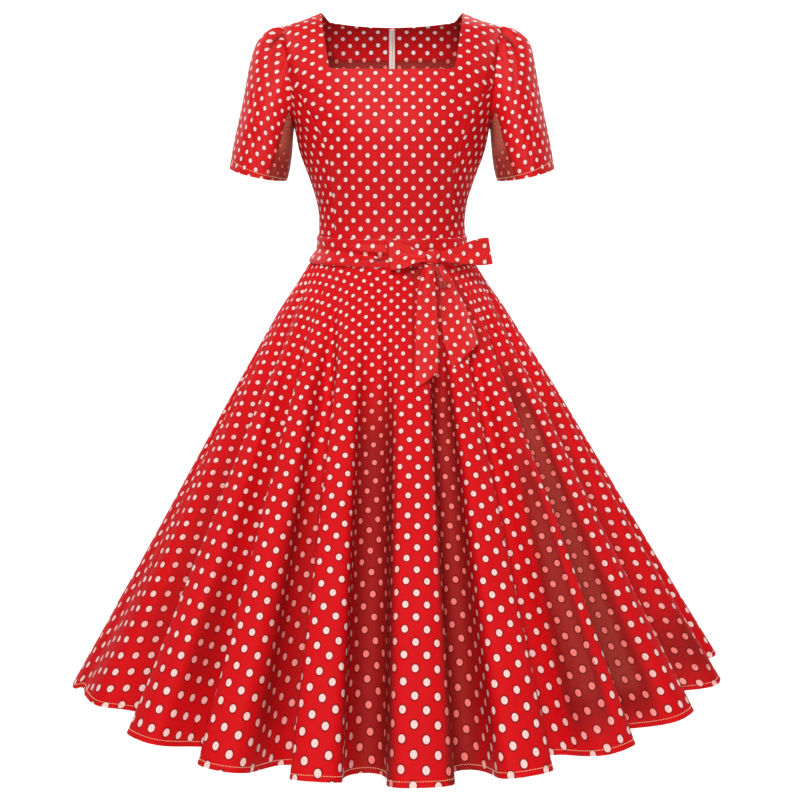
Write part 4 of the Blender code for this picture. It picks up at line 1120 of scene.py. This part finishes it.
def sleeve_shade(round_deg, share):
    """The painted shade under the arm and in the pleats."""
    under = ease((round_deg - 120 + 12 * ease((share - 0.5) / 0.5)) / 12)
    under = under + ease((-round_deg - 140) / 20)
    under = under * ease((share - 0.04) / 0.1) * (1.9 - 0.6 * ease((share - 0.45) / 0.35))
    for row in rows_of(PLEAT_SHADES, PLEAT_SHADE_COLUMNS):
        off_line = round_deg - row["round_deg"] - row["drift_deg"] * share
        length = ease((share - row["start"]) / 0.03) * ease((row["end"] - share) / 0.12)
        under = np.maximum(under, row["strength"] * bell(off_line, row["width_deg"]) * length)
    return under


def sleeve(name, node, sign):
    fine, coarse = np.arange(-80, 80, 1.6), np.arange(80, 180.1, 5)
    turns = np.radians(np.concatenate([np.arange(-180, -80, 5), fine, coarse]))
    turns[-1] = pi
    cap, cuff = [0, 0.004, 0.01, 0.018, 0.028], [0.958, CUFF_SHARE, 0.965, 0.975, 0.99, 1]
    shares = np.concatenate([cap, spread(0.04, 0.95, 62), cuff])
    turn, share = grid(turns, shares)
    round_deg = np.degrees(turn)
    smooth = sleeve_point(turn, share)
    points = tip_lift(smooth.copy())
    lowered = bell(round_deg, 55) * ease(share / 0.1) * (1 - ease((share - 0.22) / 0.25))
    points[..., 2] -= HEAD_DROP * lowered
    outward = unit(vec(0.7 * np.cos(turn) + 0.15, -np.sin(turn), 0.35 * np.maximum(np.cos(turn), 0)))
    points = pushed(points, outward, sleeve_relief(round_deg, share, "left" if sign > 0 else "right"))
    points[..., 0] *= sign
    normals = grid_normals(points, True, sign)
    top = nearest(turns, 0)
    across, down = arc(points, 0), arc(points, 1)
    across = across - across[top]
    flat = pressed_flat(np.stack([across, down[:, -1:] - down], axis=-1), smooth)
    flat = flat - flat[top, -1]
    points = creased(points, across, down, normals, SLEEVE_CREASES)
    groove = seam_dip(down, ARMHOLE_GROOVE) - HEM_GROOVE * bell(share - CUFF_SHARE, 0.004)
    points = pushed(points, normals, groove)
    normals = grid_normals(points, True, sign)
    print_uv = to_print(sign * flat[..., 0] * 1.15, flat[..., 1] * 1.05, "sleeve")
    looks = {"closed": True, "thickness": CLOTH + CUFF_FOLD * (share >= CUFF_SHARE)}
    made = cloth_mesh(name, points, normals, sign, print_uv, shade=sleeve_shade(round_deg, share), **looks)
    finish_piece(made, node, pressed_cotton)
    row = nearest(shares, CUFF_SHARE)
    stitches(name.replace("cloth", "hem_stitches"), points[:, row], normals[:, row])


# ---- skirt
# Small folds between the large ones: a trough (depth below 0) or a ridge each. u is the fold
# number where it starts, drift how far it goes aside over the skirt's length.
FINE_FOLD_COLUMNS = "u width/1000 depth/1000 start/100 end/100 drift/100"
FINE_FOLDS = (
    (5.62, 55, -3, 2, 42, 5),
    (6.3, 50, -2.2, 5, 60, -3),
    (6.85, 45, 2.4, 10, 90, 2),
    (7.4, 60, -3.4, 0, 36, 6),
    (7.9, 45, 2, 20, 95, -2),
    (8.15, 50, -2.6, 3, 52, 3),
    (8.72, 50, -2.8, 1, 32, -4),
    (9.2, 45, 2.2, 30, 105, 2),
    (9.45, 60, -3, 2, 40, 5),
    (10.1, 50, -2, 4, 46, -3),
    (10.55, 55, -2.6, 0, 34, 4),
    (11.15, 40, 1.6, 35, 105, 0),
    (11.7, 55, -2.4, 2, 38, -4),
    (12.2, 45, -2.2, 5, 50, 3),
    (12.8, 50, 2, 12, 80, -3),
    (13.3, 50, -3, 1, 44, 4),
    (12.9, 100, -6, 30, 120, 5),
    (13.16, 60, 3, 35, 125, 4),
    (13.85, 45, -2.4, 4, 55, -2),
    (14.25, 45, 2, 30, 105, 3),
    (14.7, 55, -2.8, 0, 40, -5),
    (15.25, 45, -2.2, 5, 60, 3),
    (15.8, 50, 2.2, 15, 85, -2),
    (16.35, 50, -2.6, 2, 46, 4),
    (0.2, 50, -2.6, 2, 44, 4),
    (0.75, 45, 2, 15, 90, -2),
    (1.3, 55, -3, 0, 36, 5),
    (1.85, 50, -2.2, 4, 56, -3),
    (2.35, 45, 2.2, 25, 105, 2),
    (2.8, 55, -2.8, 1, 40, -4),
    (3.4, 50, -2.4, 3, 50, 3),
    (4.1, 45, 1.8, 20, 95, -3),
    (4.6, 55, -3, 2, 38, 5),
    (5.1, 50, -2.4, 4, 60, 2),
    (16.9, 50, -2.6, 2, 48, -4),
    (17.4, 45, 2, 20, 105, 2),
    (17.95, 55, -3, 0, 38, 5),
    (18.5, 50, -2.2, 4, 54, -3),
    (19.05, 50, -2.8, 2, 42, 4),
    (19.6, 45, 2.2, 25, 105, -2),
    (20.2, 55, -2.6, 1, 36, 4),
    (20.75, 50, -2.4, 4, 58, -3),
    (21.3, 50, -3, 2, 44, 3),
)
# Bands of brown shade down the valleys: u and half width at the top and at the hem, the
# shares of the skirt's length where the band starts and ends, and its strength.
BAND_COLUMNS = "u_top half_top/100 u_low half_low/100 start/100 end/100 strength/100"
SHADE_BANDS = (
    (5.5, 22, 5.52, 24, 20, 110, 45),
    (7.3, 16, 7.34, 20, 30, 95, 35),
    (8.06, 10, 8.24, 11, 55, 97, 45),
    (9.33, 25, 9.37, 26, 36, 102, 45),
    (10.5, 33, 10.65, 32, 21, 108, 100),
    (11.66, 33, 11.5, 31, 16, 110, 110),
    (13.04, 13, 12.9, 16, 34, 102, 116),
    (13.64, 30, 13.66, 27, 17, 104, 130),
    (14.7, 12, 14.72, 12, 20, 110, 50),
    (14.7, 12, 14.86, 20, 72, 104, 95),
    (15.6, 22, 15.56, 26, 72, 110, 60),
    (16.5, 24, 16.52, 26, 20, 110, 45),
    (17.5, 26, 17.5, 28, 15, 110, 60),
    (18.5, 24, 18.5, 26, 20, 110, 40),
    (19.5, 30, 19.48, 32, 13, 110, 75),
    (20.5, 24, 20.52, 28, 20, 110, 50),
    (21.48, 30, 21.5, 32, 13, 110, 80),
    (0.48, 28, 0.5, 32, 15, 110, 70),
    (1.52, 24, 1.5, 26, 20, 110, 45),
    (2.5, 30, 2.5, 32, 13, 110, 70),
    (3.5, 24, 3.5, 28, 20, 110, 50),
    (4.5, 28, 4.5, 30, 15, 110, 60),
)
# The soft shade on the skirt beside the tails: which edge, to which side and how strong.
TAIL_SHADOWS = (
    ("sash_end_front", "right_x", 1, 0.6),
    ("sash_end_front", "left_x", -1, 0.5),
    ("sash_end_side", "right_x", 1, 0.7),
)
COLUMNS_PER_FOLD = 26


def fold_distance(u, place):
    """From a place to fold number u, the short way round the waist."""
    return (u - place + FOLD_COUNT / 2) % FOLD_COUNT - FOLD_COUNT / 2


def fine_folds(u, share):
    """How far the small folds stand out, and the puckers sewn into the waist seam."""
    moved = np.zeros_like(u)
    for row in rows_of(FINE_FOLDS, FINE_FOLD_COLUMNS):
        away = np.abs(fold_distance(u, row["u"] + row["drift"] * (share - row["start"])))
        middle, half = (row["start"] + row["end"]) / 2, (row["end"] - row["start"]) / 2
        fade = ease((half - np.abs(share - middle)) / (half * 0.6))
        width = row["width"] * (1.6 - 0.9 * share)
        moved += row["depth"] * (bell(away, width) - 0.3 * bell(away - 2.2 * width, width)) * fade
    pucker = np.sin(u * 23 + 1.7 * np.sin(u * 3.1)) * np.sin(u * 7.3 + 0.8)
    return moved + PUCKER * pucker * bell(share - 0.045, 0.035)


def valley_shade(u, share):
    """The painted shade of the valleys: 1 is the deep red, more turns brown."""
    most = np.zeros_like(u)
    for row in rows_of(SHADE_BANDS, BAND_COLUMNS):
        middle = blend(row["u_top"], row["u_low"], share)
        half = blend(row["half_top"], row["half_low"], share)
        inside = ease((1 - np.abs(fold_distance(u, middle)) / half) / 0.42)
        length = ease((share - row["start"]) / 0.22) * ease((row["end"] - share) / 0.14)
        most = np.maximum(most, row["strength"] * inside * length)
    return most


def tail_shadow(points):
    most = np.zeros(points.shape[:2])
    down = TAIL_TOP - points[..., 2]
    for name, edge, side, strength in TAIL_SHADOWS:
        line = curves_of(TAILS[name], TAIL_COLUMNS)[edge](down)
        end = TAILS[name][-1][0] / 1000 + 0.008
        length = ease((down - 0.005) / 0.03) * ease((end - down) / 0.03)
        most = np.maximum(most, strength * bell(points[..., 0] - line - side * 0.0035, 0.0055) * length)
    return most * (points[..., 1] < 0)


def skirt_panel(name, node, from_deg, to_deg, centre_deg, turn, flat, area):
    first, last = fold_number(from_deg), fold_number(to_deg)
    us = with_edges(spread(first, last, round((last - first) * COLUMNS_PER_FOLD)), 0.012)
    by_hem = HEM_SHARE + np.array([-0.0022, -0.001, 0, 0.001, 0.0022])
    shares = np.concatenate([spread(0, 0.985, 92), by_hem, [0.997, 1]])
    u, share = grid(us, shares)
    points = skirt_point(u, share)
    points[..., 2] = np.minimum(points[..., 2], WAIST - HALF_GAP)
    normals = grid_normals(points, False, -1)
    along = arc(points, 0)
    moved = fine_folds(u, share) + seam_dip(np.minimum(along, along[-1] - along), 0.001, 0.0022)
    moved = moved - HEM_GROOVE * bell((share - HEM_SHARE) * SKIRT_LENGTH, 0.0012)
    points = pushed(points, normals, moved)
    normals = grid_normals(points, False, -1)
    along = arc(points, 0)
    total = along[-1]
    angle = (along - along[nearest(us, fold_number(centre_deg))]) / total * turn
    step = np.diff(shares, prepend=0) * SKIRT_LENGTH
    reach = total[0] / turn + np.cumsum(step / blend(*SKIRT_GROW, shares**0.9))
    print_uv = to_print(np.sin(angle) * reach, -np.cos(angle) * reach, "skirt", DOT_ACROSS)
    thick = CLOTH + HEM_FOLD * (share >= HEM_SHARE)
    x, y, z = np.moveaxis(points, -1, 0)
    # Painted shade in the hollow under the bow's loop, joined with the valleys' bands and the shade beside
    # the tails.
    shade_under_bow = 1.2 * bell(x - 0.034, 0.013) * bell(z + 0.389, 0.01) * (y < 0)
    shade = np.maximum(np.maximum(valley_shade(u, share), shade_under_bow), tail_shadow(points))
    made = cloth_mesh(name, points, normals, -1, print_uv, thickness=thick, shade=shade)
    finish_piece(made, node, cotton)
    row = nearest(shares, HEM_SHARE)
    stitches(name.replace("cloth", "hem_stitches"), points[:, row], normals[:, row])


# ---- sash
BAND_CREASES = (
    (-70, 19.5, 0, 15, 3.5, -2.2, 1),
    (-60, 29, 4, 24.5, 5, 3, 0),
    (-50, 9, 4, 8, 4.5, 2.6, 0),
    (-130, 26, -60, 22, 4, -1.2, 1),
    (-110, 12, -50, 13, 4, -1, -1),
    (110, 27, 170, 24, 4, -1.2, 1),
    (100, 13, 150, 10, 4, 1.6, 0),
    (200, 22, 270, 26, 4.5, -1.2, 1),
    (230, 12, 310, 9, 4, 1.2, 0),
    (-200, 24, -280, 20, 4.5, -1.2, 1),
    (-240, 10, -320, 13, 4, 1.2, 0),
    (-170, 33, -110, 31, 3.5, -1, 0),
)


def band():
    angles = spread(-pi, pi, 300)
    vs = with_edges(spread(0, 1, 26), 0.03)
    angle, v = grid(angles, vs)
    points = band_point(angle, v)
    normals = grid_normals(points, True, 1)
    across, down = arc(points, 0), arc(points, 1)
    across = across - across[len(angles) // 2]
    points = creased(points, across, down, normals, BAND_CREASES)
    edge = bell(np.minimum(v, 1 - v) * (BAND_TOP - BAND_BOTTOM), 0.0018)
    points = pushed(points, normals, -0.0014 * edge)
    normals = grid_normals(points, True, 1)
    level = np.broadcast_to(across[:, len(vs) // 2, None], across.shape)
    x, y, z = np.moveaxis(points, -1, 0)
    # Painted shade: a small brown pocket of shadow on the band, where it tucks in beside the bow's loop.
    shade_pocket = 1.3 * bell(x + 0.019, 0.013) * bell(z + 0.368, 0.0055) * (y < 0)
    looks = {"closed": True, "thickness": BAND_CLOTH * (1 - 0.5 * edge), "shade": shade_pocket}
    made = cloth_mesh("sash_band_cloth", points, normals, 1, to_print(level, down, "band"), **looks)
    finish_piece(made, "sash_band", pressed_cotton)


def knot():
    """The knot: a short wrapped band of cloth with its own lengthwise folds."""
    turn, tilt = grid(spread(0, 2 * pi, 72), spread(0, pi, 40))
    x, y, z = np.sin(tilt) * np.sin(turn), -np.sin(tilt) * np.cos(turn), np.cos(tilt)
    x, y, z = (np.sign(value) * np.abs(value) ** 0.75 for value in (x, y, z))
    fold = 1 + 0.07 * np.sin(5 * turn + 1.6 * z + 0.6) * np.sin(tilt) ** 0.7
    fold = fold + 0.04 * np.sin(11 * turn - 2.2 * z) * np.sin(tilt)
    pinched = fold * (1 - 0.16 * bell(z, 0.5))
    offset = vec(x * KNOT["across"] * pinched, y * KNOT["deep"] * pinched, z * KNOT["tall"] * 1.02)
    points = knot_centre() + offset
    print_uv = to_print(arc(points, 0), -arc(points, 1), "knot")
    uv_ids = np.arange(turn.size).reshape(turn.shape)
    ids = uv_ids.copy()
    ids[-1] = ids[0]
    ids[:, 0], ids[:, -1] = ids[0, 0], ids[0, -1]
    faces, uvs = [], []
    for i, j in np.ndindex(turn.shape[0] - 1, turn.shape[1] - 1):
        places = {}
        for place in ((i, j), (i, j + 1), (i + 1, j + 1), (i + 1, j)):
            places.setdefault(int(ids[place]), int(uv_ids[place]))
        faces.append(list(places))
        uvs += places.values()
    used = sorted({k for face in faces for k in face})
    new = {old: count for count, old in enumerate(used)}
    faces = [[new[k] for k in face] for face in faces]
    flat = print_uv.reshape(-1, 2)[uvs]
    made = add_mesh("bow_knot_cloth", points.reshape(-1, 3)[used], faces, flat, np.zeros(len(used)))
    finish_piece(made, "bow_knot", bow_cotton_painted_light)


def bow_loop(name):
    row = rows_of([LOOPS[name]], LOOP_COLUMNS)[0]
    side = row["side"]
    us = merged(spread(0, 0.38, 30), spread(0.38, 0.62, 24), spread(0.62, 1, 30))
    u, v = grid(us, with_edges(spread(0, 1, 26), 0.03))
    points = loop_point(row, u, v)
    near = np.clip(np.minimum(u, 1 - u) / 0.4, 0, 1)
    points[..., 0] += side * (0.0015 + row["slant"] * v) * near**2
    normals = grid_normals(points, False, side)
    fold = np.sin(pi * (3.3 * v + 0.25 * (u > 0.5))) * (1 - near) ** 1.3
    sag = np.sin(2 * pi * v + 0.6) * near * (1 - ease((near - 0.55) / 0.45))
    points = pushed(points, normals, (0.0011 * fold + 0.001 * sag) * np.where(u < 0.5, 1, 0.5))
    normals = grid_normals(points, False, side)
    print_uv = to_print(arc(points, 0) * side, arc(points, 1), "loop")
    made = cloth_mesh(name + "_cloth", points, normals, side, print_uv, thickness=STRIP_CLOTH)
    finish_piece(made, name, bow_cotton_painted_light)


def sash_end(name):
    style = TAIL_STYLE[name]
    u, v = grid(with_edges(spread(0, 1, 26), 0.035), with_edges(spread(0, 1, 90), 0.008))
    points = tail_point(name, u, v)
    normals = grid_normals(points, False, -1)
    gather = np.sin(pi * (3.6 * u + 0.3)) * (1 - ease(v / 0.55))
    roll = np.sin(2 * pi * (u * 1.1 + 0.55 * v)) * ease((v - 0.15) / 0.5)
    edge = np.minimum(np.minimum(u, 1 - u) * 0.035, (1 - v) * 0.18)
    hem = -0.0005 * bell(edge, 0.0012) + 0.0003 * bell(edge - 0.003, 0.0012)
    points = pushed(points, normals, 0.001 * gather + 0.0007 * roll + hem)
    normals = grid_normals(points, False, -1)
    print_uv = to_print(arc(points, 0), -arc(points, 1), "end")
    # Painted shade: a brown pocket at the top of the tail, behind the knot, and a softer shade down its left
    # edge, beside the other tail.
    shade_pocket = ease((0.15 + style["widens"] * v - u) / 0.15) * (1 - ease((v - 0.25) / 0.05))
    beside = 0.42 * (1 - ease(u / 0.35)) * (1 - ease((v - 0.5) / 0.3))
    shade = style["shade"] * np.maximum(shade_pocket, beside)
    made = cloth_mesh(name + "_cloth", points, normals, -1, print_uv, thickness=STRIP_CLOTH, shade=shade)
    finish_piece(made, name, bow_cotton_painted_light)


# ---- zip
def zip_line(rows):
    """Points down the centre back on the inside of the cloth, and the way inward."""
    slope = back_seam_point(rows + 1e-4) - back_seam_point(rows - 1e-4)
    inward = unit(vec(0, -slope[..., 2], slope[..., 1]))
    return back_seam_point(rows) + inward * ZIP_DEPTH, inward


def zip_tape(name, node, sign):
    rows = np.concatenate([spread(-ZIP_BELOW_WAIST, 0, 30), spread(0, ZIP_TOP, 120)[1:]])
    u, _ = grid(spread(0, 1, 8), rows)
    line, inward = zip_line(rows)
    points, normals = line + np.zeros((len(u), 1, 1)), np.broadcast_to(-inward, (*u.shape, 3))
    points[..., 0] = sign * blend(0.0002, ZIP_HALF_WIDTH, u)
    roll = 0.0005 * bell(u, 0.25) + 0.00012 * bell(u - 0.8, 0.06)
    points = pushed(points, normals, -0.6 * roll)
    print_uv = to_print(arc(points, 0), arc(points, 1), "tape")
    made = cloth_mesh(name, points, normals, -sign, print_uv, thickness=TAPE_CLOTH)
    return finish_piece(made, node, tape_cloth)


def zip_teeth():
    """The zip's coil: a row of small nylon turns on the inner side of the tape, each an arch
    that starts on the other side of the line than the one before."""
    line, inward = zip_line(spread(-ZIP_BELOW_WAIST, ZIP_TOP - 0.004, 340))
    along = unit(np.gradient(line, axis=0))
    line, inward, along = (values[:, None, None] for values in (line, inward, along))
    side = np.where(np.arange(len(line)) % 2, 1, -1)[:, None, None, None] * np.array([1, 0, 0])
    turn, angle = (values[..., None] for values in grid(spread(0, pi, 4), 2 * pi * np.arange(6) / 6))
    out = 0.001 + 0.0008 * np.sin(turn)
    centre = line + inward * out + side * (0.0012 * np.cos(turn) + 0.0004)
    ring = along * np.cos(angle) + (side * np.cos(turn) + inward * np.sin(turn)) * np.sin(angle)
    add_tubes("zip_coil", centre + ring * 0.00042, plain_thread("zip_nylon", TAPE_WHITE))


# ---- the dress
SIDES = {"left": 1, "right": -1}

front_centre()
for side, sign in SIDES.items():
    front_side(f"front_side_{side}_cloth", f"front_bodice_side_{side}", sign)
tapes = {side: zip_tape(f"zip_tape_{side}_cloth", f"zip_tape_{side}", sign) for side, sign in SIDES.items()}
for side, sign in SIDES.items():
    back_half(f"back_{side}_cloth", f"back_bodice_{side}", sign)
for side, sign in SIDES.items():
    sleeve(f"sleeve_{side}_cloth", f"sleeve_{side}", sign)
skirt_panel("skirt_front_cloth", "skirt_front", -90, 90, 0, 2 * SKIRT_TURN, (1.786, 0.893), 1.233)
for side, edges in {"left": (90, 180, 180), "right": (-180, -90, -180)}.items():
    skirt_panel(f"skirt_back_{side}_cloth", f"skirt_back_{side}", *edges, SKIRT_TURN, (0.893, 0.893), 0.616)
band()
knot()
bow_loop("bow_loop_right")
bow_loop("bow_loop_left")
sash_end("sash_end_front")
sash_end("sash_end_side")
zip_teeth()
for metal_node in ("zip_slider", "zip_pull_tab"):
    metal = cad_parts[metal_node]
    metal.data.materials.clear()
    metal.data.materials.append(zip_metal)

# ---- stage, light and camera
FLOOR = -2.1
SKY_LOW = 0.92  # the studio's brightness round the horizon
SKY_HIGH = 0.45  # and overhead
# name: place, target, size, energy
LIGHTS = {
    "key": ((-0.7, -2.6, 2.3), (0, 0, -0.4), 1.6, 104),
    "fill": ((0.3, -3.4, 0.15), (0, 0, -0.4), 1.8, 58),
    "back": ((0.6, 2.4, 2), (0, 0, -0.5), 1.6, 30),
    "wall_left": ((-2.4, 1.2, 1.2), (-0.9, 3.2, -0.4), 1.6, 90),
    "wall_right": ((2.4, 1.2, 1.2), (0.9, 3.2, -0.4), 1.6, 90),
}


def backdrop():
    """A pale floor that curves up into a wall behind the dress."""
    bend, back, near, high, half = 1.2, 3.2, -6, 6, 8
    turns = np.radians(np.arange(5, 90, 5))
    curve = [(back - bend + bend * np.sin(t), bend - bend * np.cos(t)) for t in turns]
    profile = [(near, 0), (back - bend, 0), *curve, (back, bend), (back, high)]
    points = [(x, y, z + FLOOR) for y, z in profile for x in (-half, half)]
    faces = [[2 * i, 2 * i + 1, 2 * i + 3, 2 * i + 2] for i in range(len(profile) - 1)]
    floor = add_mesh("backdrop", points, faces)
    pale = Nodes("pale_floor").finished({"Base Color": rgb(0.93, 0.93, 0.93), "Roughness": 0.9})
    floor.data.materials.append(pale)


def area_light(name, place, target, size, energy):
    data = bpy.data.lights.new(name, "AREA")
    data.shape = "DISK"
    data.size = size
    data.energy = energy
    light = bpy.data.objects.new(name, data)
    light.location = place
    light.rotation_euler = (Vector(target) - Vector(place)).to_track_quat("-Z", "Y").to_euler()
    bpy.context.scene.collection.objects.link(light)


backdrop()
for light_name, settings in LIGHTS.items():
    area_light(light_name, *settings)

world = bpy.data.worlds.new("studio")
world.use_nodes = True
sky = world.node_tree
kinds = ("TexCoord", "SeparateXYZ", "MapRange")
direction, height, fade = (sky.nodes.new("ShaderNode" + kind) for kind in kinds)
for key, value in {"From Min": 0.3, "From Max": 0.75, "To Min": SKY_LOW, "To Max": SKY_HIGH}.items():
    fade.inputs[key].default_value = value
sky.links.new(direction.outputs["Generated"], height.inputs[0])
sky.links.new(height.outputs["Z"], fade.inputs["Value"])
sky.links.new(fade.outputs[0], sky.nodes["Background"].inputs["Strength"])
bpy.context.scene.world = world
bpy.context.scene.view_settings.view_transform = "Standard"

lens = bpy.data.cameras.new("camera")
lens.lens = 52.857
lens.sensor_width = 36
lens.shift_x = 0.01
camera = bpy.data.objects.new("camera", lens)
camera.location = (0, -1.9, -0.1908)
camera.rotation_euler = (radians(77.5), 0, 0)
bpy.context.scene.collection.objects.link(camera)
bpy.context.scene.camera = camera
